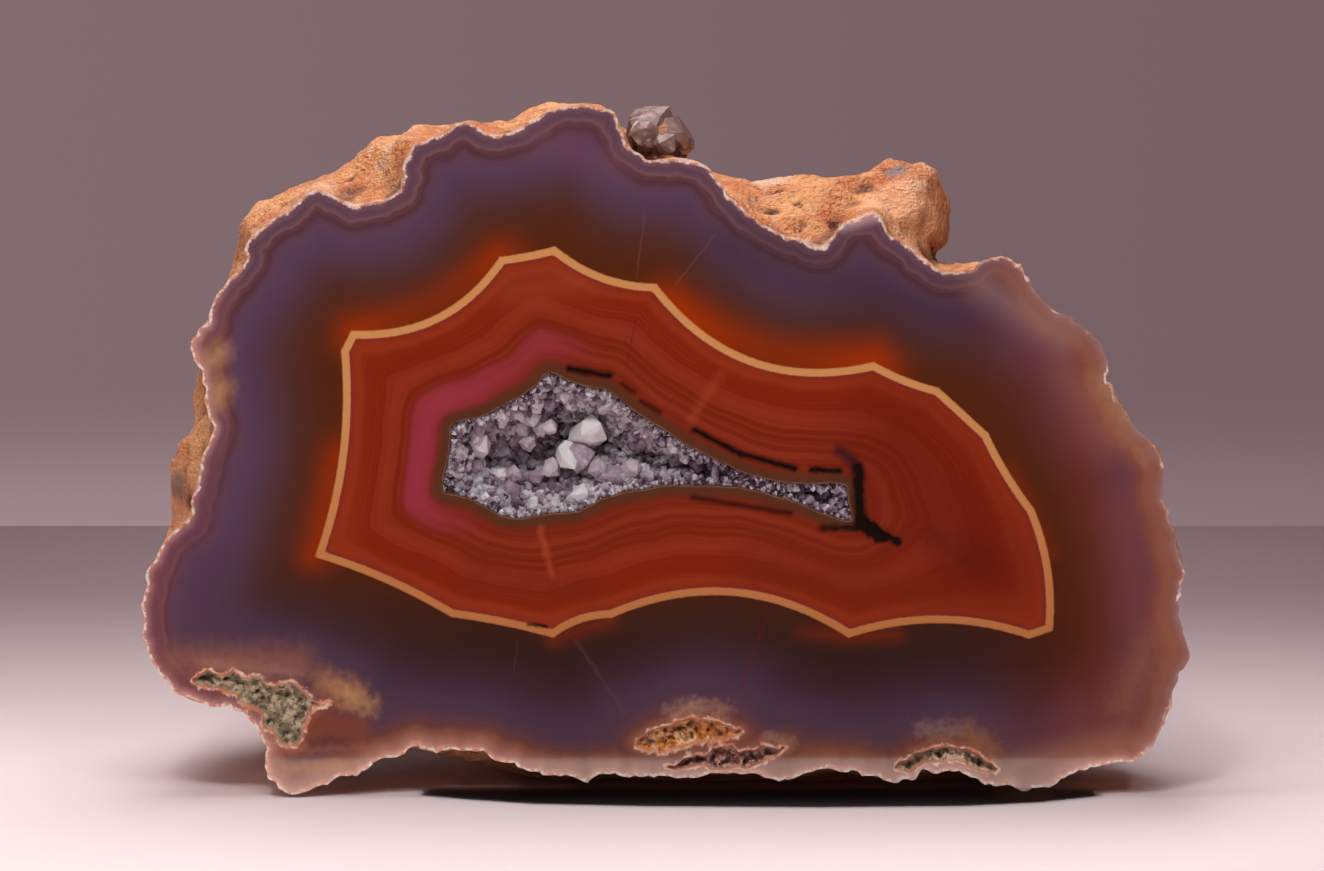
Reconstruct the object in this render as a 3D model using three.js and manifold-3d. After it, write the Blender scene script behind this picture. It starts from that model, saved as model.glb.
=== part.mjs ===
// Half of an agate nodule, cut and polished on one side, with its lumpy rind, a hollow lined with quartz
// crystals and a bit of host rock caught at the lower left. Millimetres, +Z up, the polished face looks
// towards -Y.  Everything is first laid out square to the polished face: x runs to the right, y back into
// the stone and z up the face. Then the stone leans back on its foot and its belly is flattened where it
// rests.

import * as THREE from 'three';
import { ImprovedNoise } from 'three/addons/math/ImprovedNoise.js';
import { mergeVertices } from 'three/addons/utils/BufferGeometryUtils.js';
import Module from 'manifold-3d';

const wasm = await Module();
wasm.setup();

// Driving dimensions
const STONE_DEPTH = 40;
const LEAN = THREE.MathUtils.degToRad(3);
const HUB = new THREE.Vector2(0, 35.8);
const HUB_DROP = 8.5;
const SHOULDER_DEPTH = 11;
const BACK_START = 14;
const BACK_FULLNESS = 2.35;
const BACK_OVAL = new THREE.Vector2(50, 33);
const GAP = 0.3;

// The rind: soft swells of two sizes, rounded bumps and round pits, least on the belly, sunk in by a
// fixed amount
const RELIEF_SETTLE = 0.75;
const BELLY_SHARE = 0.2;
const WIDE_SWELLS = { size: 15, height: 2.2 };
const SMALL_SWELLS = { size: 6, height: 0.9 };
const BUMPS = { count: 60, reach: [4.5, 8], height: [0.6, 1.9] };
const PITS = { count: 70, reach: [2.4, 3.8], height: [-1.5, -0.6] };
const BUMP_DOME = new THREE.Vector3(52, STONE_DEPTH, 35);

// The rings of points that the stone's skin is built on: their depth behind the face, and their number of
// points
const FLANK_RINGS = [
  [0, 236], [0.8, 236], [2.4, 200], [4.4, 176], [6.6, 156], [9, 142], [11.4, 134], [BACK_START, 128],
];
const BACK_RINGS = 14;
const BACK_TAPER = 0.9;

// The rim of the polished face, from its top clockwise: x, z
const FACE_RIM = [
  [-8.4, 72.8], [-5.6, 72.9], [-2.9, 71.9], [-1.4, 69.4], [-0.1, 67.0], [1.2, 67.0], [3.2, 67.5],
  [6.0, 67.3], [6.9, 66.1], [9.6, 63.1], [13.2, 60.2], [17.0, 58.8], [18.6, 58.0], [19.9, 58.5],
  [20.5, 59.9], [23.1, 61.5], [24.4, 62.0], [25.4, 61.1], [26.0, 59.5], [29.5, 57.3], [32.2, 55.5],
  [33.9, 55.5], [37.0, 57.1], [39.5, 56.5], [41.5, 53.7], [42.9, 52.0], [46.0, 49.9], [48.4, 47.7],
  [49.3, 44.1], [50.2, 42.8], [50.6, 41.1], [53.1, 38.2], [55.1, 35.7], [54.7, 34.0], [55.1, 31.7],
  [56.4, 27.8], [57.2, 22.6], [56.4, 19.7], [56.8, 18.3], [57.7, 15.7], [57.7, 14.8], [56.3, 12.3],
  [56.2, 10.1], [55.2, 7.3], [53.5, 4.8], [50.5, 3.9], [46.3, 3.3], [43.3, 1.1], [39.6, 1.1],
  [37.7, 1.2], [35.3, 2.3], [31.9, 2.9], [29.9, 2.7], [28.7, 2.1], [25.6, 2.0], [21.9, 2.8],
  [19.5, 2.8], [16.8, 2.2], [14.2, 2.1], [12.6, 2.5], [7.3, 2.4], [3.1, 2.3], [-0.6, 2.2], [-4.2, 2.5],
  [-5.5, 1.9], [-8.3, 2.2], [-11.7, 2.9], [-13.1, 3.7], [-16.1, 4.5], [-19.3, 5.3], [-22.0, 4.8],
  [-24.0, 5.4], [-26.2, 4.5], [-28.3, 3.4], [-32.1, 2.0], [-35.5, 0.8], [-37.1, 0.7], [-39.1, 1.8],
  [-39.9, 3.3], [-39.2, 4.7], [-40.0, 6.3], [-41.1, 8.1], [-42.4, 9.2], [-45.2, 9.9], [-47.3, 10.1],
  [-49.4, 11.8], [-51.3, 13.9], [-51.6, 15.3], [-52.2, 16.8], [-52.4, 20.5], [-52.1, 22.6],
  [-51.4, 25.1], [-49.6, 28.1], [-47.9, 29.3], [-47.0, 30.7], [-46.9, 32.6], [-46.4, 34.9],
  [-44.9, 38.4], [-45.4, 41.5], [-45.4, 43.4], [-46.2, 45.0], [-46.9, 46.9], [-47.1, 48.6],
  [-46.2, 49.5], [-45.1, 51.4], [-44.4, 52.7], [-42.8, 55.1], [-41.5, 56.0], [-41.0, 58.5],
  [-39.9, 60.2], [-36.0, 62.5], [-35.3, 63.6], [-33.1, 64.3], [-31.3, 62.9], [-29.7, 62.5],
  [-27.2, 62.7], [-25.4, 63.3], [-24.9, 65.3], [-24.7, 67.5], [-23.2, 68.9], [-21.4, 69.5],
  [-17.7, 71.0], [-16.7, 70.2], [-14.1, 69.8], [-12.4, 70.9], [-9.8, 72.3],
];

// The outline of the stone at its shoulder, behind the face, the same way round: x, z
const SHOULDER_RIM = [
  [-10.8, 73.4], [-5.8, 73.9], [-2.8, 73.1], [-0.1, 68.6], [4.3, 66.7], [8.3, 65.9], [12.4, 65.8],
  [17.8, 66.4], [21.4, 65.9], [26.0, 61.6], [30.3, 56.5], [34.6, 55.4], [38.2, 55.6], [42.2, 52.6],
  [48.6, 46.6], [53.2, 37.5], [55.2, 32.8], [56.9, 26.3], [57.3, 20.0], [57.5, 14.0], [55.5, 7.0],
  [51.5, 3.2], [45.0, 0.9], [38.0, 0.3], [27.0, 0.0], [14.0, -0.2], [0.0, 0.0], [-11.0, 0.3],
  [-18.0, 2.4], [-22.5, 4.9], [-27.0, 5.4], [-33.0, 4.2], [-38.5, 5.2], [-43.0, 8.8], [-48.3, 11.6],
  [-51.6, 14.5], [-52.8, 18.0], [-52.9, 23.0], [-52.0, 26.5], [-51.4, 28.3], [-51.2, 30.4],
  [-51.8, 32.6], [-50.8, 34.9], [-48.6, 38.4], [-46.4, 40.2], [-45.9, 43.0], [-46.8, 47.0],
  [-45.4, 51.3], [-44.0, 55.5], [-43.4, 57.8], [-43.0, 61.2], [-39.6, 64.0], [-36.4, 65.3],
  [-33.8, 66.0], [-32.3, 67.4], [-29.4, 68.0], [-24.9, 70.7], [-20.5, 71.0], [-15.7, 71.9],
];

// The mouth of the crystal-lined hollow, from its upper point clockwise: x, z
const HOLLOW_RIM = [
  [-9.5, 45.1], [-7.3, 44.1], [-3.5, 43.2], [-1.6, 41.8], [2.2, 39.2], [6.5, 36.6], [10.8, 34.5],
  [15.2, 33.5], [18.3, 33.3], [21.4, 33.3], [21.9, 31.3], [22.2, 29.4], [19.4, 30.1], [15.2, 31.7],
  [10.8, 32.8], [5.5, 33.2], [0.5, 32.7], [-3.6, 31.8], [-5.8, 30.7], [-6.9, 30.3], [-9.0, 30.2],
  [-12.8, 29.6], [-14.4, 29.8], [-17.5, 31.5], [-20.7, 32.5], [-20.5, 34.5], [-19.9, 38.1],
  [-19.6, 39.7], [-16.7, 40.4], [-14.7, 41.4], [-12.1, 42.8], [-10.6, 44.0],
];
const HOLLOW_HUB = new THREE.Vector2(-10.2, 37);
const HOLLOW_DEPTH = 12;
const BOWL_END = 2.3;
const BOWL_LEVELS = [0, 0.45, 0.78, 1];
const BOWL_TAPER = 0.93;
const BOWL_ROUNDNESS = 2.4;
const TAIL_DEPTH = 2.6;
const CRUST_TOP = 1.25;
const CRUST_THICKNESS = 1.5;
const CRYSTAL_TOP = 0.4;

// The pocket of host rock, clockwise from its left end: x, z
const POCKET_RIM = [
  [-47.4, 12.6], [-45.2, 13.5], [-42.8, 13.2], [-40.1, 12.7], [-37.2, 12.2], [-35.5, 11.6],
  [-32.7, 10.3], [-33.8, 9.6], [-35.1, 8.5], [-36.0, 5.9], [-36.9, 5.7], [-38.3, 6.1], [-39.2, 7.0],
  [-39.9, 8.0], [-40.8, 9.2], [-42.0, 10.3], [-45.0, 11.5], [-46.4, 11.9],
];
const POCKET_DEPTH = 3.2;
const ROCK_TOP = 0.9;
const ROCK_CLEARANCE = 0.35;
const ROCK_LUMPS = 15;
const ROCK_LUMP_SIZE = [1.1, 1.9];

// The knob on the rind and the smoky quartz lump beside the top of the face: centre and half sizes
const KNOB = { at: [27.2, 12.5, 61.0], half: [6.2, 7.6, 6.2] };
const KNOB_SWELLS = { size: 3.4, height: 1.1 };
const QUARTZ_LUMP = { at: [2.0, 5.2, 69.6], half: [3.5, 4.2, 3.3] };
const QUARTZ_CHIPPING = 0.22;

// The small open vugs at the foot of the face: centre and half sizes
const VUGS = [
  { at: [4.9, 0, 6.6], half: [5.4, 2.6, 1.45] },
  { at: [9.3, 0, 4.0], half: [5.6, 2.2, 1.1] },
  { at: [32.2, 0, 4.9], half: [4.6, 2.4, 1.15] },
];

// The larger crystals of the druse: x, z on the face, depth of the tip, radius
const MAIN_CRYSTALS = [
  [-16.4, 37.6, 3.0, 1.7], [-11.2, 39.6, 3.4, 1.4], [-4.6, 39.9, 2.2, 1.9], [-5.4, 34.6, 2.6, 2.2],
  [-10.4, 33.6, 3.8, 1.7], [-1.6, 35.2, 1.9, 1.5], [-14.8, 33.0, 3.0, 1.5], [-8.0, 36.6, 6.0, 1.6],
];
const BOWL_CRYSTALS = 44;
const BOWL_CRYSTAL_TRIES = 900;
const TAIL_CRYSTAL_STEP = 1.25;
const TAIL_CRYSTAL_FOOT = 2.0;
const TAIL_PAIR_WIDTH = 2.4;

const noise = new ImprovedNoise();
const smoothstep = THREE.MathUtils.smoothstep;
const lerp = THREE.MathUtils.lerp;

// Repeatable random numbers from 0 to 1
function makeRandom(seed) {
  let state = seed;
  return () => {
    state = (state + 0x6d2b79f5) | 0;
    let mixed = Math.imul(state ^ (state >>> 15), 1 | state);
    mixed = (mixed + Math.imul(mixed ^ (mixed >>> 7), 61 | mixed)) ^ mixed;
    return ((mixed ^ (mixed >>> 14)) >>> 0) / 4294967296;
  };
}

// Solids

// One closed body over rings of points that all go round the same way. A ring of one point closes to a
// tip, and the other end rings are closed with flat caps.
function loft(rings) {
  const positions = rings.flat().flatMap((point) => [point.x, point.y, point.z]);
  const triangles = [];
  let start = 0;
  for (let row = 0; row + 1 < rings.length; row += 1) {
    const next = start + rings[row].length;
    zipRings(triangles, start, rings[row].length, next, rings[row + 1].length);
    start = next;
  }
  capRing(triangles, rings[0], 0, -1);
  capRing(triangles, rings.at(-1), start, 1);
  const geometry = new THREE.BufferGeometry();
  geometry.setAttribute('position', new THREE.Float32BufferAttribute(positions, 3));
  geometry.setIndex(triangles);
  return facingOut(geometry);
}

// Joins two rings with a strip of triangles, whatever their numbers of points
function zipRings(triangles, startA, countA, startB, countB) {
  const stepsA = countA > 1 ? countA : 0;
  const stepsB = countB > 1 ? countB : 0;
  let a = 0;
  let b = 0;
  while (a < stepsA || b < stepsB) {
    const here = startA + (a % countA);
    const there = startB + (b % countB);
    const moveA = b >= stepsB || (a < stepsA && (a + 0.5) * stepsB <= (b + 0.5) * stepsA);
    if (moveA) {
      a += 1;
      triangles.push(here, startA + (a % countA), there);
    } else {
      b += 1;
      triangles.push(startB + (b % countB), there, here);
    }
  }
}

function capRing(triangles, ring, start, side) {
  if (ring.length < 3) return;
  const flat = ring.map((point) => new THREE.Vector2(point.x, point.z));
  const turn = Math.sign(THREE.ShapeUtils.area(flat)) * side;
  for (const [a, b, c] of THREE.ShapeUtils.triangulateShape(flat, [])) {
    const agrees = Math.sign(THREE.ShapeUtils.area([flat[a], flat[b], flat[c]])) === turn;
    triangles.push(start + a, start + (agrees ? b : c), start + (agrees ? c : b));
  }
}

// Turns the faces of a closed mesh outwards, told from the sign of its volume
function facingOut(geometry) {
  const place = geometry.attributes.position;
  const index = geometry.index.array;
  const corner = [new THREE.Vector3(), new THREE.Vector3(), new THREE.Vector3()];
  let volume = 0;
  for (let i = 0; i < index.length; i += 3) {
    corner.forEach((point, k) => point.fromBufferAttribute(place, index[i + k]));
    volume += corner[0].dot(corner[1].cross(corner[2]));
  }
  if (volume < 0) {
    for (let i = 0; i < index.length; i += 3) [index[i], index[i + 1]] = [index[i + 1], index[i]];
  }
  return geometry;
}

function solidOf(geometry) {
  const bare = geometry.clone();
  bare.deleteAttribute('normal');
  bare.deleteAttribute('uv');
  const merged = mergeVertices(bare, 1e-4);
  return new wasm.Manifold(new wasm.Mesh({
    numProp: 3,
    vertProperties: new Float32Array(merged.attributes.position.array),
    triVerts: new Uint32Array(merged.index.array),
  }));
}

function geometryOf(solid) {
  const mesh = solid.getMesh();
  const geometry = new THREE.BufferGeometry();
  geometry.setAttribute('position', new THREE.Float32BufferAttribute(mesh.vertProperties, 3));
  geometry.setIndex(Array.from(mesh.triVerts));
  geometry.computeVertexNormals();
  return geometry;
}

// The outer body of a solid, with any small space that its pieces shut in filled up
function outerBody(solid) {
  const bodies = solid.decompose();
  return bodies.reduce((best, body) => (body.volume() > best.volume() ? body : best));
}

function ellipsoid({ at, half }, detail) {
  return new THREE.IcosahedronGeometry(1, detail).scale(...half).translate(...at);
}

function ring(outline, depth) {
  return outline.map(([x, z]) => new THREE.Vector3(x, depth, z));
}

// The outline moved in by a distance, corner by corner
function inset(outline, distance) {
  const turn = Math.sign(THREE.ShapeUtils.area(outline.map(([x, z]) => new THREE.Vector2(x, z))));
  return outline.map(([x, z], i) => {
    const before = outline.at(i - 1);
    const after = outline[(i + 1) % outline.length];
    const along = new THREE.Vector2(after[0] - before[0], after[1] - before[1]).normalize();
    return [x - along.y * distance * turn, z + along.x * distance * turn];
  });
}

// The stone

// The distance from the hub to an outline, in the direction of an angle
function radiusTable(outline, hub) {
  const spokes = outline.map(([x, z]) => ({
    angle: Math.atan2(z - hub.y, x - hub.x),
    radius: Math.hypot(x - hub.x, z - hub.y),
  }));
  spokes.sort((a, b) => a.angle - b.angle);
  return (angle) => {
    const found = spokes.findIndex((spoke) => spoke.angle > angle);
    const after = found < 0 ? spokes[0] : spokes[found];
    const before = found < 0 ? spokes.at(-1) : spokes.at(found - 1);
    const turn = 2 * Math.PI;
    const span = (after.angle - before.angle + turn) % turn;
    const share = ((angle - before.angle + turn) % turn) / span;
    return lerp(before.radius, after.radius, share);
  };
}

// Lumps and pits scattered over the rind, each a place, a reach and a height
function scatterRelief() {
  const random = makeRandom(73);
  const scattered = [];
  const spread = ({ count, reach, height }) => {
    for (let i = 0; i < count; i += 1) {
      const angle = 2 * Math.PI * random();
      const lift = Math.acos(random());
      const across = Math.sin(lift);
      scattered.push({
        at: new THREE.Vector3(
          HUB.x + BUMP_DOME.x * across * Math.cos(angle),
          BUMP_DOME.y * Math.cos(lift) + 2,
          HUB.y - 2 + BUMP_DOME.z * across * Math.sin(angle),
        ),
        reach: lerp(...reach, random()),
        height: lerp(...height, random()),
      });
    }
  };
  spread(BUMPS);
  spread(PITS);
  return scattered;
}

const reliefSpots = scatterRelief();

// A smooth uneven height, read off the noise at a shifted place
function swell(point, { size, height }, shiftX, shiftY, shiftZ) {
  return noise.noise(point.x / size + shiftX, point.y / size + shiftY, point.z / size + shiftZ) * height;
}

// How far the rind stands out of its smooth form at a point: least on the belly that the stone rests on
function rindRelief(point) {
  let sum = swell(point, WIDE_SWELLS, 0, 0, 0) + swell(point, SMALL_SWELLS, 9, 0, 0) - RELIEF_SETTLE;
  for (const spot of reliefSpots) {
    const away = spot.at.distanceToSquared(point) / (spot.reach * spot.reach);
    if (away < 6) sum += spot.height * Math.exp(-away);
  }
  return sum * lerp(BELLY_SHARE, 1, smoothstep(point.z, 1, 10));
}

// One ring round the stone at a depth behind the face: the face's rim in front, then the shoulder, then
// an oval
function stoneRing(rimCurve, shoulderRadius, depth, shrink, count) {
  const points = [];
  const toOval = smoothstep(depth, SHOULDER_DEPTH, STONE_DEPTH - 12);
  const toShoulder = smoothstep(depth, 0, SHOULDER_DEPTH);
  const drop = HUB_DROP * Math.max(0, (depth - BACK_START) / (STONE_DEPTH - BACK_START)) ** 1.2;
  for (let i = 0; i < count; i += 1) {
    const rim = rimCurve.getPointAt(i / count);
    const angle = Math.atan2(rim.y - HUB.y, rim.x - HUB.x);
    const edge = Math.hypot(rim.x - HUB.x, rim.y - HUB.y);
    const oval = 1 / Math.hypot(Math.cos(angle) / BACK_OVAL.x, Math.sin(angle) / BACK_OVAL.y);
    const radius = lerp(lerp(edge, shoulderRadius(angle), toShoulder), oval, toOval) * shrink;
    const point = new THREE.Vector3(
      HUB.x + radius * Math.cos(angle),
      depth,
      HUB.y - drop + radius * Math.sin(angle),
    );
    const outward = point.clone().sub(new THREE.Vector3(HUB.x, BACK_START, HUB.y)).normalize();
    if (depth < SHOULDER_DEPTH) outward.setY(0).normalize();
    points.push(point.addScaledVector(outward, rindRelief(point) * smoothstep(depth, 0.5, 7)));
  }
  return points;
}

function makeStone() {
  const corners = FACE_RIM.map(([x, z]) => new THREE.Vector3(x, z, 0));
  const rimCurve = new THREE.CatmullRomCurve3(corners, true, 'centripetal');
  rimCurve.arcLengthDivisions = 2000;
  const shoulderRadius = radiusTable(SHOULDER_RIM, HUB);
  const rings = FLANK_RINGS.map(([depth, count]) => stoneRing(rimCurve, shoulderRadius, depth, 1, count));
  const fullCount = rings.at(-1).length;
  for (let step = 1; step < BACK_RINGS; step += 1) {
    const along = Math.sin((step / BACK_RINGS) * (Math.PI / 2));
    const shrink = Math.sqrt(1 - along ** BACK_FULLNESS);
    const count = Math.round(fullCount * shrink ** BACK_TAPER);
    const depth = lerp(BACK_START, STONE_DEPTH, along);
    rings.push(stoneRing(rimCurve, shoulderRadius, depth, shrink, count));
  }
  rings.push(stoneRing(rimCurve, shoulderRadius, STONE_DEPTH, 0, 1));
  return solidOf(loft(rings));
}

// A rounded lump with a slightly uneven skin
function makeKnob() {
  const knob = ellipsoid(KNOB, 3);
  const place = knob.attributes.position;
  const centre = new THREE.Vector3(...KNOB.at);
  for (let i = 0; i < place.count; i += 1) {
    const point = new THREE.Vector3().fromBufferAttribute(place, i);
    const outward = point.clone().sub(centre).normalize();
    point.addScaledVector(outward, swell(point, KNOB_SWELLS, 0, 0, 5));
    place.setXYZ(i, point.x, point.y, point.z);
  }
  return solidOf(knob);
}

// A broken lump of quartz with flat faces
function makeQuartzLump() {
  const lump = ellipsoid(QUARTZ_LUMP, 1);
  const place = lump.attributes.position;
  const centre = new THREE.Vector3(...QUARTZ_LUMP.at);
  for (let i = 0; i < place.count; i += 1) {
    const point = new THREE.Vector3().fromBufferAttribute(place, i);
    const chip = 1 + QUARTZ_CHIPPING * noise.noise(point.x * 0.9, point.y * 0.9 + 3, point.z * 0.9);
    point.sub(centre).multiplyScalar(chip).add(centre);
    place.setXYZ(i, point.x, point.y, point.z);
  }
  return solidOf(lump);
}

// The hollow and its druse

// The part of the hollow's mouth that opens into the deep bowl
function bowlRim() {
  const upper = HOLLOW_RIM.filter(([x], i) => x < BOWL_END && i < 5);
  const lower = HOLLOW_RIM.filter(([x], i) => x < BOWL_END && i > 15);
  return [...upper, [3.4, 36.0], ...lower];
}

function scaledRim(outline, hub, share) {
  return outline.map(([x, z]) => [lerp(hub.x, x, share), lerp(hub.y, z, share)]);
}

// How wide the bowl still is at a level, from 0 at its mouth to 1 at its floor
function bowlWidth(level) {
  return Math.sqrt(1 - BOWL_TAPER * level ** BOWL_ROUNDNESS);
}

function bowlSolid(outline, top, bottom) {
  const rings = BOWL_LEVELS.map((level) => {
    return ring(scaledRim(outline, HOLLOW_HUB, bowlWidth(level)), lerp(top, bottom, level));
  });
  return solidOf(loft(rings));
}

function hollowSolid(margin, top) {
  const tail = solidOf(loft([
    ring(inset(HOLLOW_RIM, margin), top),
    ring(inset(HOLLOW_RIM, margin), TAIL_DEPTH - margin),
  ]));
  return tail.add(bowlSolid(inset(bowlRim(), margin), Math.max(top, 0), HOLLOW_DEPTH - margin));
}

// A six-sided crystal with a pointed end, standing at a place and pointing along a direction
function crystal(at, direction, radius, length, random) {
  const turn = new THREE.Quaternion().setFromUnitVectors(new THREE.Vector3(0, 1, 0), direction);
  const twist = random() * Math.PI;
  const hexagon = (height, size) => Array.from({ length: 6 }, (_, side) => {
    const angle = twist + (side / 6) * 2 * Math.PI;
    const reach = size * (1 + (side % 2 ? 0.1 : -0.08));
    return new THREE.Vector3(reach * Math.cos(angle), height, reach * Math.sin(angle));
  });
  const tip = new THREE.Vector3(radius * 0.2 * (random() - 0.5), length, radius * 0.2 * (random() - 0.5));
  const rings = [hexagon(-radius * 1.2, radius), hexagon(length - radius * 1.15, radius * 0.94), [tip]];
  const placed = rings.map((row) => row.map((point) => point.applyQuaternion(turn).add(at)));
  return solidOf(loft(placed));
}

// Crystals all over the wall and floor of the bowl, pointing towards the middle of its mouth
function bowlCrystals(random) {
  const rim = radiusTable(bowlRim(), HOLLOW_HUB);
  const focus = new THREE.Vector3(HOLLOW_HUB.x, 1.0, HOLLOW_HUB.y);
  const feet = [];
  const crystals = [];
  for (let attempt = 0; attempt < BOWL_CRYSTAL_TRIES && crystals.length < BOWL_CRYSTALS; attempt += 1) {
    const angle = 2 * Math.PI * random() - Math.PI;
    const level = random() ** 0.7;
    const radius = rim(angle) * bowlWidth(level) * 0.93;
    const foot = new THREE.Vector3(
      HOLLOW_HUB.x + radius * Math.cos(angle),
      lerp(CRUST_TOP, HOLLOW_DEPTH - CRUST_THICKNESS, level),
      HOLLOW_HUB.y + radius * Math.sin(angle),
    );
    const size = 0.85 + 0.8 * random() * level + 0.25 * random();
    if (feet.some((other) => other.distanceTo(foot) < size * 1.6)) continue;
    feet.push(foot);
    const lean = new THREE.Vector3(random() - 0.5, random() - 0.5, random() - 0.5).multiplyScalar(0.8);
    const direction = focus.clone().sub(foot).normalize().add(lean).normalize();
    crystals.push(crystal(foot, direction, size, size * (1.5 + 1.1 * random()), random));
  }
  return crystals;
}

// The larger crystals, each from the floor of the bowl to its tip
function mainCrystals(random) {
  return MAIN_CRYSTALS.map(([x, z, tipDepth, size]) => {
    const away = Math.hypot(x - HOLLOW_HUB.x, z - HOLLOW_HUB.y) / 10;
    const floor = Math.max(tipDepth + size, HOLLOW_DEPTH - CRUST_THICKNESS - 5 * away * away);
    const foot = new THREE.Vector3(x + (x - HOLLOW_HUB.x) * 0.12, floor, z + (z - HOLLOW_HUB.y) * 0.12);
    const tip = new THREE.Vector3(x, tipDepth, z);
    const direction = tip.clone().sub(foot).normalize();
    return crystal(foot, direction, size, tip.distanceTo(foot), random);
  });
}

// Small crystals in a row along the narrow tail of the hollow
function tailCrystals(random) {
  const crystals = [];
  for (let x = 1.2; x < 21.4; x += TAIL_CRYSTAL_STEP) {
    const top = edgeHeight(x, 1, 10);
    const bottom = edgeHeight(x, 10, 18);
    for (const share of top - bottom > TAIL_PAIR_WIDTH ? [0.25, 0.8] : [0.3 + 0.4 * random()]) {
      const foot = new THREE.Vector3(x + 0.7 * (random() - 0.5), TAIL_CRYSTAL_FOOT, lerp(bottom, top, share));
      const lean = new THREE.Vector3(random() - 0.5, -1.6, random() - 0.5).normalize();
      crystals.push(crystal(foot, lean, 0.55 + 0.25 * random(), 0.9 + 0.6 * random(), random));
    }
  }
  return crystals;
}

// The height of the hollow's mouth at x, on the stretch of its rim between two of its corners
function edgeHeight(x, from, to) {
  for (let i = from; i < to; i += 1) {
    const [[xa, za], [xb, zb]] = [HOLLOW_RIM[i - 1], HOLLOW_RIM[i]];
    if ((x - xa) * (x - xb) <= 0 && xa !== xb) return lerp(za, zb, (x - xa) / (xb - xa));
  }
  return HOLLOW_RIM[to - 1][1];
}

function makeDruse() {
  const random = makeRandom(11);
  const room = hollowSolid(GAP, CRYSTAL_TOP);
  const crust = hollowSolid(GAP, CRUST_TOP)
    .subtract(bowlSolid(inset(bowlRim(), CRUST_THICKNESS), -1, HOLLOW_DEPTH - CRUST_THICKNESS));
  const crystals = [...bowlCrystals(random), ...mainCrystals(random), ...tailCrystals(random)];
  const grown = crystals.reduce((sum, one) => sum.add(one), crust);
  return outerBody(grown.intersect(room));
}

// The pocket of host rock

function pocketSolid(margin, top) {
  const depth = POCKET_DEPTH - margin;
  return solidOf(loft([ring(inset(POCKET_RIM, margin), top), ring(inset(POCKET_RIM, margin), depth)]));
}

function makeHostRock() {
  const random = makeRandom(5);
  let rock = pocketSolid(GAP, ROCK_TOP + 0.9);
  for (let i = 0; i < ROCK_LUMPS; i += 1) {
    const along = i / (ROCK_LUMPS - 1);
    const size = lerp(...ROCK_LUMP_SIZE, random());
    const at = [
      lerp(-46.2, -35.0, along) + 0.8 * (random() - 0.5),
      ROCK_TOP + size * 0.75,
      lerp(12.5, 7.6, along ** 1.3) + 3.2 * (random() - 0.5),
    ];
    rock = rock.add(solidOf(ellipsoid({ at, half: [size * 1.2, size, size * 0.9] }, 0)));
  }
  return outerBody(rock.intersect(pocketSolid(GAP, ROCK_CLEARANCE)));
}

// Putting the parts together

function leanBack(solid) {
  return solidOf(geometryOf(solid).rotateX(-LEAN));
}

// The half nodule, cut flat in front, opened for its hollow, pocket and vugs, and flattened where it
// rests
function makeAgate() {
  let stone = makeStone().add(makeKnob()).add(makeQuartzLump());
  const frontHalf = solidOf(new THREE.BoxGeometry(200, 60, 200).translate(0, -30, 0));
  stone = stone.subtract(frontHalf).subtract(hollowSolid(0, -1)).subtract(pocketSolid(0, -1));
  for (const vug of VUGS) stone = stone.subtract(solidOf(ellipsoid(vug, 2)));
  const ground = solidOf(new THREE.BoxGeometry(200, 200, 40).translate(0, 0, -20));
  return outerBody(leanBack(stone).subtract(ground));
}

function part(name, solid, material) {
  const mesh = new THREE.Mesh(geometryOf(solid), new THREE.MeshStandardMaterial(material));
  mesh.name = name;
  return mesh;
}

const CHALCEDONY = { color: 0x8a4a2e, roughness: 0.35, metalness: 0 };
const QUARTZ = { color: 0xb9b3bd, roughness: 0.12, metalness: 0 };
const HOST_ROCK = { color: 0x6f6d52, roughness: 0.9, metalness: 0 };

const agate = part('agate_half', makeAgate(), CHALCEDONY);
const druse = part('quartz_druse', leanBack(makeDruse()), QUARTZ);
const rock = part('host_rock_inclusion', leanBack(makeHostRock()), HOST_ROCK);

// The stone stands with the middle of its bounding box over the origin
agate.geometry.computeBoundingBox();
const bounds = agate.geometry.boundingBox;
const specimen = new THREE.Group();
specimen.add(agate, druse, rock);
specimen.position.set(-(bounds.min.x + bounds.max.x) / 2, -(bounds.min.y + bounds.max.y) / 2, 0);

export default specimen;
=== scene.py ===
import logging
import math
from dataclasses import dataclass, field
from enum import Enum
from typing import Callable, Iterable, Sequence

import bmesh
import bpy
import numpy as np
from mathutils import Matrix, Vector
from mathutils.geometry import delaunay_2d_cdt


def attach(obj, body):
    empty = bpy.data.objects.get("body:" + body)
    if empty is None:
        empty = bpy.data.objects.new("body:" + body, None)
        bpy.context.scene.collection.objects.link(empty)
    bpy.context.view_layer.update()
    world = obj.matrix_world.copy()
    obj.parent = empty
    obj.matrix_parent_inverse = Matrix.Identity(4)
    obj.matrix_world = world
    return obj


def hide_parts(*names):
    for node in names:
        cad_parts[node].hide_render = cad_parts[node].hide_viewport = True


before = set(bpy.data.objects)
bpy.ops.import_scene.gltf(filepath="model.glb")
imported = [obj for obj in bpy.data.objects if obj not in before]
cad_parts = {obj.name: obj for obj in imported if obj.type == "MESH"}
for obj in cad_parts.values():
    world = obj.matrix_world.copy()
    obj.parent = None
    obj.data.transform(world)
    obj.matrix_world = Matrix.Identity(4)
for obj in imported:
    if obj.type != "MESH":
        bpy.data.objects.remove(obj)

log = logging.getLogger("agate")

MM = 0.001
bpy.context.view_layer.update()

LEAN = math.radians(3.0)
RIM_LEFT_MM = -52.4

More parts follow.
